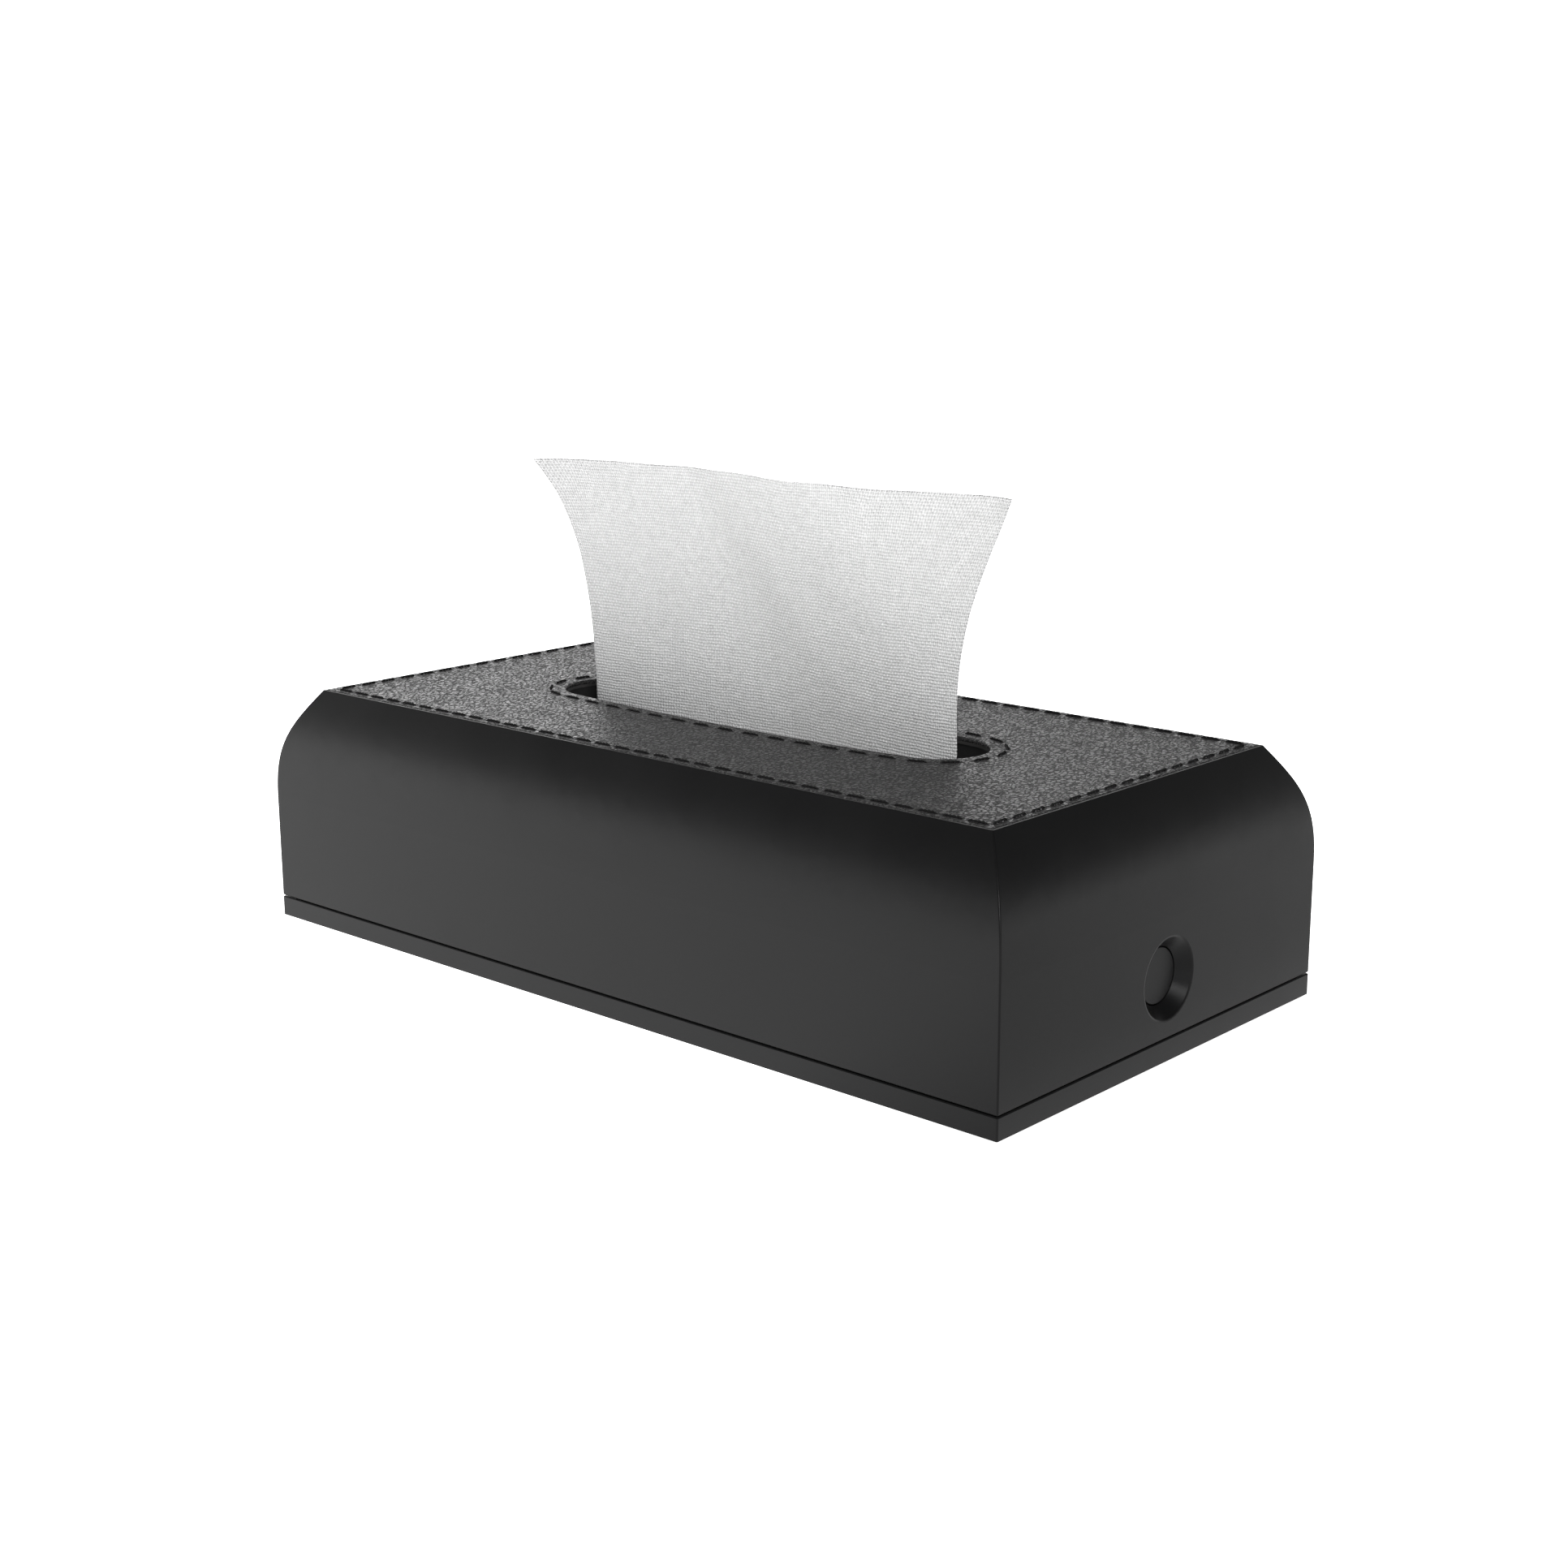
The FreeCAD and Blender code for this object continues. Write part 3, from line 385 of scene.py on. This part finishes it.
def rubber():
    """Black rubber with a matt moulded skin."""
    shader = Shader("moulded_rubber", grey(0.02), 0.8)
    cloud = shader.noise(300, 4)
    shader.drive("Base Color", shader.mix(cloud, grey(0.012), (0.035, 0.034, 0.033)))
    skin = shader.noise(1400, 3)
    shader.bump(skin, 0.35, 0.08 * MM)
    return shader.material


def nylon():
    """Undyed nylon, a little translucent."""
    shader = Shader("natural_nylon", (0.72, 0.7, 0.64), 0.45, Subsurface_Weight=0.1)
    cloud = shader.noise(120, 3)
    shader.drive("Base Color", shader.mix(cloud, (0.66, 0.63, 0.56), (0.76, 0.74, 0.69)))
    skin = shader.noise(1800, 2)
    shader.bump(skin, 0.1, 0.04 * MM)
    return shader.material


def fibre_board():
    """Black board with its fibres along X."""
    shader = Shader("fibre_board", grey(0.02), 0.9)
    fibres = shader.noise(700, 5, of=shader.placed(scale=(0.3, 1, 1)))
    shader.drive("Base Color", shader.mix(fibres, grey(0.01), (0.03, 0.029, 0.028)))
    shader.bump(fibres, 0.4, 0.08 * MM)
    return shader.material


def floor_paint_and_glow():
    """Pale matt paint with a soft glow: painted light, brightest on the left, that lights the box as a lamp
    would.
    """
    shader = Shader("pale_floor", grey(0.93), 0.9, Specular_IOR_Level=0.1)
    shader.surface.inputs["Emission Color"].default_value = (1, 1, 1, 1)
    across = shader.add("ShaderNodeSeparateXYZ", {"Vector": shader.position}).outputs["X"]
    away = shader.add("ShaderNodeVectorMath", {0: shader.position}, operation="LENGTH").outputs["Value"]
    near = shader.span(across, GLOW_FALLS_FROM, GLOW_FALLS_TO, GLOW_LEFT, GLOW_RIGHT)
    far = shader.span(away, FAR_FROM, FAR_TO, 0.0, FAR_GLOW)
    # Painted light: the floor gives out light, brighter on the left and far from the box.
    shader.drive("Emission Strength", shader.math("ADD", near, far))
    shader.drive("Base Color", shader.mix(shader.noise(3, 2), grey(0.925), grey(0.935)))
    return shader.material


# The slot's outline and the panel's, each walked by the same share of the way round


PANEL_LOW, PANEL_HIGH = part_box("leather_panel")
RING_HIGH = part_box("slot_stitching")[1]
SLOT_HALF_LENGTH = RING_HIGH.x - SLOT_LINE_OFFSET - CAD_THREAD_RADIUS
SLOT_HALF_WIDTH = RING_HIGH.y - SLOT_LINE_OFFSET - CAD_THREAD_RADIUS
SIDE_DROP = SLOT_SIDE_RADIUS - SLOT_HALF_WIDTH
END_RADIUS = (
    2 * SLOT_SIDE_RADIUS * SLOT_HALF_WIDTH - SLOT_HALF_WIDTH**2 - SLOT_HALF_LENGTH**2
) / (2 * (SLOT_SIDE_RADIUS - SLOT_HALF_LENGTH))
END_X = SLOT_HALF_LENGTH - END_RADIUS
SIDE_LEAN = math.atan2(END_X, SIDE_DROP)


def slot_distance(x, y):
    """How far a point is outside the slot's edge, negative inside it."""
    x = np.abs(x)
    y = np.abs(y)
    beside = x * SIDE_DROP < END_X * (y + SIDE_DROP)
    from_side = np.hypot(x, y + SIDE_DROP) - SLOT_SIDE_RADIUS
    from_end = np.hypot(x - END_X, y) - END_RADIUS
    return np.where(beside, from_side, from_end)


def slot_point(angle, offset):
    """The point of the slot's outline, grown by offset, whose outward normal has that angle."""
    normal = np.array([math.cos(angle), math.sin(angle)])
    if abs(normal[0]) < math.sin(SIDE_LEAN):
        centre = np.array([0.0, -math.copysign(SIDE_DROP, normal[1])])
        radius = SLOT_SIDE_RADIUS
    else:
        centre = np.array([math.copysign(END_X, normal[0]), 0.0])
        radius = END_RADIUS
    return centre + (radius + offset) * normal


def slot_length(offset):
    """Length of one side arc and of one end arc of the outline, grown by offset."""
    side = 2 * SIDE_LEAN * (SLOT_SIDE_RADIUS + offset)
    end = (math.pi - 2 * SIDE_LEAN) * (END_RADIUS + offset)
    return side, end


def rectangle_stitches():
    """(middle, direction) of each stitch of the panel's edge line."""
    x = PANEL_HIGH.x - EDGE_LINE_INSET
    y = PANEL_HIGH.y - EDGE_LINE_INSET
    corners = [(-x, -y), (x, -y), (x, y), (-x, y)]
    made = []
    for start, end in zip(corners, corners[1:] + corners[:1]):
        start = np.array(start)
        run = np.array(end) - start
        length = np.linalg.norm(run)
        count = round(length / EDGE_STITCH_PITCH)
        for i in range(count):
            made.append((start + run * (i + 0.5) / count, run / length))
    return made


def slot_stitches():
    """(middle, direction) of each stitch of the ring round the slot."""
    side, end = slot_length(SLOT_LINE_OFFSET)
    made = []
    for middle in (math.pi / 2, 0.0, -math.pi / 2, math.pi):
        along_side = abs(math.sin(middle)) > 0.5
        length = side if along_side else end
        spread = 2 * SIDE_LEAN if along_side else math.pi - 2 * SIDE_LEAN
        count = round(length / SLOT_STITCH_PITCH)
        for i in range(count):
            angle = middle + spread * (0.5 - (i + 0.5) / count)
            point = slot_point(angle, SLOT_LINE_OFFSET)
            made.append((point, np.array([math.sin(angle), -math.cos(angle)])))
    return made


# Leather panel


def holes_of(stitches):
    """The needle holes at the two ends of each stitch."""
    ends = []
    for middle, direction in stitches:
        ends.append(middle - direction * STITCH_LENGTH / 2)
        ends.append(middle + direction * STITCH_LENGTH / 2)
    return np.array(ends)


def nearest(points, others):
    """Distance from each point to the nearest of the others."""
    best = np.full(len(points), np.inf)
    for other in others:
        best = np.minimum(best, np.hypot(points[:, 0] - other[0], points[:, 1] - other[1]))
    return best


def leather_height(points, holes):
    """How far the leather's face is from flat at each point."""
    groove_depth = 0.04 * MM
    groove_width = 0.55 * MM
    roll = 0.25 * MM
    pucker_depth = 0.16 * MM
    pucker_width = 0.45 * MM
    swell_height = 0.05 * MM
    swells_per_metre = 45
    x, y = points[:, 0], points[:, 1]
    to_edge = np.minimum(PANEL_HIGH.x - np.abs(x), PANEL_HIGH.y - np.abs(y))
    to_slot = slot_distance(x, y)
    height = np.zeros(len(points))
    for distance, line in ((to_edge, EDGE_LINE_INSET), (to_slot, SLOT_LINE_OFFSET)):
        height -= groove_depth * np.exp(-(((distance - line) / groove_width) ** 2))
        inside = np.clip(1 - distance / roll, 0, 1)
        height -= roll * (1 - np.sqrt(1 - inside**2)) * 0.9
    height -= pucker_depth * np.exp(-((nearest(points, holes) / pucker_width) ** 2))
    places = [Vector((px * swells_per_metre, py * swells_per_metre, 0.3)) for px, py in points]
    return height + swell_height * np.array([noise.noise(place) for place in places])


def panel_spokes():
    """Where each spoke of the net ends on the panel's edge, and its slot normal's angle."""
    long_count = 340
    short_count = 150
    half_x, half_y = PANEL_HIGH.x, PANEL_HIGH.y
    corners = [(-half_x, half_y), (half_x, half_y), (half_x, -half_y), (-half_x, -half_y)]
    angles = []
    edge_points = []
    for k in range(4):
        long_side = k % 2 == 0
        count = long_count if long_side else short_count
        first = 3 * math.pi / 4 - k * math.pi / 2
        start = np.array(corners[k])
        run = np.array(corners[(k + 1) % 4]) - start
        for i in range(count):
            share = i / count
            angles.append(angle_at(first, share, long_side))
            edge_points.append(start + run * share)
    return angles, np.array(edge_points)


def panel_rings(angles, edge_points):
    """Rings of points from the slot's edge to the panel's, close together near both."""
    step = 0.35 * MM
    slot_count = 20
    edge_count = 16
    between = 18
    half_x, half_y = PANEL_HIGH.x, PANEL_HIGH.y
    slot_rings = []
    for i in range(slot_count + 1):
        slot_rings.append(np.array([slot_point(angle, i * step) for angle in angles]))
    edge_rings = []
    for i in range(edge_count, -1, -1):
        shrink = np.array([(half_x - i * step) / half_x, (half_y - i * step) / half_y])
        edge_rings.append(edge_points * shrink)
    middle = []
    for i in range(1, between):
        share = i / between
        middle.append(slot_rings[-1] * (1 - share) + edge_rings[0] * share)
    return slot_rings + middle + edge_rings


def leather_panel(material):
    """The leather as a fine net of rings between the slot and the panel's edge, with its cut edges."""
    angles, edge_points = panel_spokes()
    rings = panel_rings(angles, edge_points)
    flat = np.concatenate(rings)
    holes = np.concatenate([holes_of(rectangle_stitches()), holes_of(slot_stitches())])
    heights = PANEL_HIGH.z + leather_height(flat, holes)
    top = [(*p, z) for p, z in zip(flat, heights)]
    slot_foot = [(*p, PANEL_LOW.z) for p in rings[0]]
    edge_foot = [(*p, PANEL_LOW.z) for p in rings[-1]]
    vertices = slot_foot + top + edge_foot
    count = len(angles)
    faces = grid_faces(len(rings) + 2, count, closed_columns=True)
    last = (len(rings) + 1) * count
    faces += [(j, last + j, last + (j + 1) % count, (j + 1) % count) for j in range(count)]
    return add_object("leather_top", vertices, faces, material)


def angle_at(first, share, long_side):
    """The slot normal's angle at a share of the way from one corner of the panel to the next.

    On a long side most of the way goes along the slot's flat side arc.
    """
    if not long_side:
        return first - share * math.pi / 2
    side, _ = slot_length(0)
    bend = (math.pi / 4 - SIDE_LEAN) * END_RADIUS
    walked = share * (side + 2 * bend)
    if walked < bend:
        return first - walked / END_RADIUS
    if walked < bend + side:
        return first - (math.pi / 4 - SIDE_LEAN) - (walked - bend) / SLOT_SIDE_RADIUS
    return first - (math.pi / 4 + SIDE_LEAN) - (walked - bend - side) / END_RADIUS


# Stitching


def stitch_strand(phase):
    """One of a stitch's twisted strands along X: it rises from one hole and dives into the other."""
    steps = 22
    rise = 0.2 * MM
    strand_turn = 0.13 * MM
    twist = 2.6 * math.pi
    overrun = 1.04
    dive_depth = 0.75 * MM
    slant = 0.16 * MM
    hook = 0.55 * MM
    points = []
    for i in range(steps + 1):
        t = -1 + 2 * i / steps
        turn = phase + twist * t
        x = STITCH_LENGTH / 2 * t * overrun
        y = slant * t + hook * smooth_step(0.80, 1.0, t)
        z = rise - dive_depth * smooth_step(0.72, 1.04, abs(t) * overrun)
        points.append((x, y + strand_turn * math.cos(turn), z + strand_turn * math.sin(turn)))
    return points


def stitching(name, stitches, material):
    """All the stitches of one line as one mesh."""
    strand_radius = 0.18 * MM
    strand_sides = 6
    unevenness = 0.025
    strands = [tube(stitch_strand(phase), strand_radius, strand_sides) for phase in (0.0, math.pi)]
    parts = Parts()
    rng = np.random.default_rng(7)
    for middle, direction in stitches:
        wobble = rng.normal(0, unevenness)
        c = direction[0] - wobble * direction[1]
        s = direction[1] + wobble * direction[0]
        for vertices, faces in strands:
            v = np.array(vertices)
            turned = np.stack(
                [
                    middle[0] + v[:, 0] * c - v[:, 1] * s,
                    middle[1] + v[:, 0] * s + v[:, 1] * c,
                    PANEL_HIGH.z + v[:, 2],
                ],
                axis=1,
            )
            parts.add([tuple(p) for p in turned], faces)
    return add_object(name, parts.vertices, parts.faces, material)


# The napkin in the slot


def crease(x, z, at_x, at_z, slope, width):
    """A soft ridge along a slanting line in the sheet, 1 on the line and 0 away from it."""
    lean = math.atan(slope)
    across = (x - at_x) * math.sin(lean) + (z - at_z) * math.cos(lean)
    return math.exp(-((across / width) ** 2))


def sheet_wave(x, rise):
    """The sheet's long wave, which moves along it and comes forward towards the slot."""
    wave_length = 136 * MM
    wave_height = 4.9 * MM
    start = 8 * MM
    drift = 44 * MM
    back_at_top = 1.2 * MM
    forward_at_slot = 5.6 * MM
    along = x + start - drift * (1 - rise)
    wave = wave_height * math.sin(2 * math.pi * along / wave_length)
    return forward_at_slot * (1 - rise) - back_at_top - wave


def sheet_curl(x):
    """How far the sheet's two side edges curl back, the left one more."""
    curl_from = 66 * MM
    curl_width = 12.6 * MM
    left_curl = 6.2 * MM
    right_curl = 3.6 * MM
    corner = max(0.0, (abs(x) - curl_from) / curl_width) ** 2
    return -(left_curl if x < 0 else right_curl) * corner


def sheet_depth(x, z, rise):
    """The sheet's Y at a place: wave and curl, two creases, and soft and fine unevenness."""
    fold = 1.5 * MM * crease(x, z, -18 * MM, 108 * MM, 2.2, 11 * MM)
    fold -= 1.0 * MM * crease(x, z, 12 * MM, 88 * MM, 1.2, 8 * MM)
    soft = 0.9 * MM * noise.noise(Vector((x * 38, z * 30, 2.0))) * (0.3 + rise)
    fine = 0.12 * MM * noise.noise(Vector((x * 150, z * 120, 5.0)))
    sway = (sheet_wave(x, rise) + sheet_curl(x)) * (0.5 + 0.5 * rise)
    return sway + (fold + soft) * (0.2 + 0.8 * rise) + fine


def napkin_sheet(material):
    """A soft sheet gathered by the slot: it flares and waves above it."""
    low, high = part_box("napkin_sheet")
    height = high.z - low.z
    columns = 241
    rows = 121
    flare_power = 2.2
    top_drop = 0.3 * MM
    sag_depth = 0.3 * MM
    vertices = []
    for i in range(rows):
        v = i / (rows - 1)
        z = low.z + height * v
        rise = max(0.0, (z - PANEL_HIGH.z) / (high.z - PANEL_HIGH.z))
        half = SHEET_SLOT_HALF + (SHEET_TOP_HALF - SHEET_SLOT_HALF) * rise**flare_power
        for j in range(columns):
            x = half * (-1 + 2 * j / (columns - 1))
            sag = sag_depth * noise.noise(Vector((x * 60, 0.0, 9.0))) * rise
            vertices.append((x, sheet_depth(x, z, rise), min(z + sag - top_drop * v, high.z)))
    sheet = add_object("napkin_sheet_cloth", vertices, grid_faces(rows, columns), material)
    cloth = sheet.data.uv_layers.new(name="cloth")
    for loop in sheet.data.loops:
        i, j = divmod(loop.vertex_index, columns)
        cloth.data[loop.index].uv = (2 * SHEET_TOP_HALF * j / (columns - 1), height * i / (rows - 1))
    thickness = sheet.modifiers.new("thickness", "SOLIDIFY")
    thickness.thickness = SHEET_THICKNESS
    thickness.offset = 0.0
    return sheet


# Napkin stack


def fold_outline(half, pitch, shift):
    """A flat loop of (Y, Z) points: two long faces joined by round folds."""
    fold_steps = 10
    fullness = 0.47
    outline = []
    for side in (1, -1):
        for i in range(fold_steps + 1):
            turn = side * (math.pi / 2 - math.pi * i / fold_steps)
            y = side * (half - pitch) + pitch * math.cos(turn) * side + shift
            outline.append((y, fullness * pitch * math.sin(turn) * side))
    return outline


def napkin_stack(material):
    """Interfolded napkins: thin layers with rounded folds, a little uneven along the sides."""
    low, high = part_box("napkin_stack")
    layers = 56
    columns = 24
    outer_inset = 2.4 * MM
    ripple_depth = 0.12 * MM
    side_spread, shift_spread, end_spread, slide_spread = 0.25 * MM, 0.2 * MM, 0.3 * MM, 0.2 * MM
    slide_limit = 0.4 * MM
    pitch = (high.z - low.z) / layers
    rng = np.random.default_rng(3)
    parts = Parts()
    for k in range(layers):
        z = low.z + pitch * (k + 0.5)
        half_y = (high.y - low.y) / 2 - abs(rng.normal(0, side_spread))
        shift = rng.normal(0, shift_spread)
        half_x = (high.x - low.x) / 2 - abs(rng.normal(0, end_spread))
        slide = np.clip(rng.normal(0, slide_spread), -slide_limit, slide_limit)
        inset = outer_inset if k in (0, layers - 1) else 0.0
        outline = fold_outline(half_y - inset, pitch, shift)
        vertices = []
        for c in range(columns):
            x = half_x * (-1 + 2 * c / (columns - 1)) + slide
            ripple = ripple_depth * noise.noise(Vector((x * 40, k * 1.7, 0.0)))
            for y, dz in outline:
                vertices.append((x, min(max(y + ripple, low.y), high.y), z + dz))
        count = len(outline)
        last = (columns - 1) * count
        faces = grid_faces(columns, count, closed_columns=True)
        faces.append(tuple(reversed(range(count))))
        faces.append(tuple(last + i for i in range(count)))
        parts.add(vertices, faces)
    return add_object("napkin_stack_folds", parts.vertices, parts.faces, material)


# Springs


def coil(radius, wire, length, turns):
    """A compression spring along +Z from 0 to length, with its ends wound flat."""
    flat_turns = 0.8
    steps_per_turn = 28
    wire_sides = 10
    total = turns + 2 * flat_turns
    rise = length - 2 * wire - 2 * flat_turns * 2 * wire
    points = []
    count = int(total * steps_per_turn)
    for i in range(count + 1):
        turn = total * i / count
        closing = min(turn, flat_turns) + max(0.0, turn - total + flat_turns)
        opening = turn - closing
        z = wire + closing * 2 * wire + rise * opening / turns
        angle = 2 * math.pi * turn
        points.append((radius * math.cos(angle), radius * math.sin(angle), z))
    return tube(points, wire, wire_sides)


def lift_springs(material):
    """Four coils, one round each guide post."""
    low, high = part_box("lift_springs")
    post_low, post_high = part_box("guide_posts")
    post_x = (post_high.x - post_low.x) / 2 - GUIDE_POST_RADIUS
    post_y = (post_high.y - post_low.y) / 2 - GUIDE_POST_RADIUS
    wire = 0.45 * MM
    turns = 4.6
    outer = high.x - post_x
    vertices, faces = coil(outer - wire, wire, high.z - low.z, turns)
    parts = Parts()
    for side_x in (-1, 1):
        for side_y in (-1, 1):
            base = np.array([side_x * post_x, side_y * post_y, low.z])
            parts.add([tuple(np.array(v) + base) for v in vertices], faces)
    return add_object("lift_spring_coils", parts.vertices, parts.faces, material)


def button_spring(material):
    """The coil behind the release button, along X."""
    low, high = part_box("button_spring")
    wire = 0.3 * MM
    turns = 3.4
    outer = (high.y - low.y) / 2
    vertices, faces = coil(outer - wire, wire, high.x - low.x, turns)
    axis_z = (low.z + high.z) / 2
    turned = [(low.x + z, y, axis_z + x) for x, y, z in vertices]
    return add_object("button_spring_coil", turned, [tuple(reversed(f)) for f in faces], material)


# Latch


def latch_spring(material):
    """The latch strip again with cuts across it; the real strip bends as the button is pressed."""
    mesh = NODES["latch_spring"].data.copy()
    mesh.name = "latch_spring_strip"
    strip = bpy.data.objects.new("latch_spring_strip", mesh)
    bpy.context.scene.collection.objects.link(strip)
    mesh.materials.clear()
    mesh.materials.append(material)
    low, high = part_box("latch_spring")
    net = bmesh.new()
    net.from_mesh(mesh)
    cuts = 36
    for i in range(1, cuts):
        z = low.z + (high.z - low.z) * i / cuts
        geometry = net.verts[:] + net.edges[:] + net.faces[:]
        bmesh.ops.bisect_plane(net, geom=geometry, plane_co=(0, 0, z), plane_no=(0, 0, 1))
    net.to_mesh(mesh)
    net.free()
    return strip


# Dressing the CAD nodes


def dress(names, material):
    """Gives CAD nodes that are kept a material."""
    for name in names:
        slots = NODES[name].data.materials
        slots.clear()
        slots.append(material)


def place_on(piece, body, node):
    """Puts a piece in a CAD node's place: hides the node, and hangs the piece on the body that it rides on.
    """
    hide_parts(node)
    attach(piece, body)
    return piece


def dress_kept_nodes():
    body_black = moulded_plastic("moulded_body", (0.004, 0.004, 0.0041), (0.0055, 0.0055, 0.0057), 0.33)
    button_black = moulded_plastic("moulded_button", (0.005, 0.005, 0.0052), (0.0065, 0.0065, 0.0067), 0.33)
    inner_black = moulded_plastic("moulded_inside", grey(0.011), grey(0.016), 0.5)
    zinc = metal("zinc_plate", (0.55, 0.56, 0.58), 0.32)
    sheet_steel = metal("galvanised_sheet", (0.5, 0.51, 0.53), 0.38, stretch=(0.08, 1, 1), grain=900)
    dress(["cover_shell", "base_plate"], body_black)
    dress(["release_button"], button_black)
    dress(["slot_liner", "button_guide", "post_caps"], inner_black)
    dress(["hinge_pins", "latch_keeper", "keeper_screws", "guide_posts"], zinc)
    dress(["button_guide_screws", "latch_screws"], zinc)
    dress(["lift_plate"], sheet_steel)
    dress(["guide_bushes"], nylon())
    dress(["rubber_feet"], rubber())
    dress(["panel_backing"], fibre_board())


def add_panel():
    """The leather and its two lines of stitches."""
    panel = place_on(leather_panel(leather()), "cover", "leather_panel")
    black_thread = thread()
    edge_line = stitching("edge_stitches", rectangle_stitches(), black_thread)
    place_on(edge_line, "cover", "perimeter_stitching")
    slot_line = stitching("slot_stitches", slot_stitches(), black_thread)
    place_on(slot_line, "cover", "slot_stitching")


def add_napkins():
    """The standing napkin and the stack under it."""
    sheet = place_on(napkin_sheet(embossed_paper()), "napkin", "napkin_sheet")
    place_on(napkin_stack(stacked_paper()), "platform", "napkin_stack")


def add_springs():
    """The latch strip, cut across, and the coils; the real strip bends as the button goes in, and the coils
    shorten.
    """
    spring_wire = metal("drawn_wire", (0.42, 0.42, 0.44), 0.28)

    strip = latch_spring(spring_wire)
    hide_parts("latch_spring")
    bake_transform(strip)

    coils = place_on(lift_springs(spring_wire), "base", "lift_springs")
    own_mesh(coils)

    coil_piece = place_on(button_spring(spring_wire), "cover", "button_spring")
    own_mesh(coil_piece)


# Floor, light and camera


def add_floor():
    size = FLOOR_HALF_SIZE
    z = CAD_LOW.z
    corners = [(-size, -size, z), (size, -size, z), (size, size, z), (-size, size, z)]
    floor = add_object("floor", corners, [(0, 1, 2, 3)], floor_paint_and_glow(), smooth=False)


def fill_ramp(ramp, stops):
    """Sets a ramp's stops: where each is, and its brightness."""
    while len(ramp.elements) < len(stops):
        ramp.elements.new(0.5)
    for element, (at, level) in zip(ramp.elements, stops):
        element.position = at
        element.color = (level, level, level, 1)


def brightness(tree, value, stops):
    """The brightness that the stops give a value."""
    node = tree.nodes.new("ShaderNodeValToRGB")
    tree.links.new(value, node.inputs["Fac"])
    fill_ramp(node.color_ramp, stops)
    return node.outputs["Color"]


def blended(tree, mode, one, other):
    """Two brightnesses blended in one of the mix node's modes."""
    node = tree.nodes.new("ShaderNodeMix")
    node.data_type = "RGBA"
    node.blend_type = mode
    node.inputs["Factor"].default_value = 1.0
    tree.links.new(one, node.inputs[6])
    tree.links.new(other, node.inputs[7])
    return node.outputs[2]


def add_world():
    """A studio that is bright on the left, dark overhead and pale all round the horizon."""
    world = bpy.data.worlds.new("studio")
    bpy.context.scene.world = world
    world.use_nodes = True
    tree = world.node_tree
    tree.nodes.clear()
    place = tree.nodes.new("ShaderNodeTexCoord").outputs["Generated"]
    split = tree.nodes.new("ShaderNodeSeparateXYZ")
    tree.links.new(place, split.inputs["Vector"])
    facing = tree.nodes.new("ShaderNodeVectorMath")
    facing.operation = "DOT_PRODUCT"
    tree.links.new(place, facing.inputs[0])
    facing.inputs[1].default_value = BRIGHT_SIDE
    side = tree.nodes.new("ShaderNodeMath")
    side.operation = "MULTIPLY_ADD"
    tree.links.new(facing.outputs["Value"], side.inputs[0])
    side.inputs[1].default_value = 0.5
    side.inputs[2].default_value = 0.5
    height = brightness(tree, split.outputs["Z"], HEIGHT_STOPS)
    around = brightness(tree, side.outputs["Value"], AROUND_STOPS)
    horizon = brightness(tree, split.outputs["Z"], HORIZON_STOPS)
    studio = blended(tree, "LIGHTEN", blended(tree, "MULTIPLY", height, around), horizon)
    background = tree.nodes.new("ShaderNodeBackground")
    tree.links.new(studio, background.inputs["Color"])
    output = tree.nodes.new("ShaderNodeOutputWorld")
    tree.links.new(background.outputs["Background"], output.inputs["Surface"])


def add_light(name, place, target, size, power):
    """A rectangular soft box that faces a target."""
    data = bpy.data.lights.new(name, "AREA")
    data.shape = "RECTANGLE"
    data.size, data.size_y = size
    data.energy = power
    light = bpy.data.objects.new(name, data)
    bpy.context.scene.collection.objects.link(light)
    light.location = place
    light.rotation_mode = "QUATERNION"
    light.rotation_quaternion = (Vector(target) - Vector(place)).to_track_quat("-Z", "Y")


def add_camera():
    """The camera, from its angles and distance round CAMERA_TARGET."""
    back = Vector(
        (
            math.cos(CAMERA_ELEVATION) * math.sin(CAMERA_AZIMUTH),
            -math.cos(CAMERA_ELEVATION) * math.cos(CAMERA_AZIMUTH),
            math.sin(CAMERA_ELEVATION),
        )
    )
    data = bpy.data.cameras.new("camera")
    data.lens = CAMERA_LENS
    data.sensor_width = CAMERA_SENSOR
    data.clip_start = 0.01
    camera = bpy.data.objects.new("camera", data)
    bpy.context.scene.collection.objects.link(camera)
    turn = (-back).to_track_quat("-Z", "Y").to_matrix().to_4x4()
    roll = Matrix.Rotation(CAMERA_ROLL, 4, "Z")
    camera.matrix_world = Matrix.Translation(CAMERA_TARGET + back * CAMERA_DISTANCE) @ turn @ roll
    bpy.context.scene.camera = camera


dress_kept_nodes()
add_panel()
add_napkins()
add_springs()
add_floor()
add_world()
add_light("key", KEY_PLACE, KEY_TARGET, KEY_SIZE, KEY_POWER)
add_camera()
bpy.context.scene.view_settings.view_transform = "Standard"
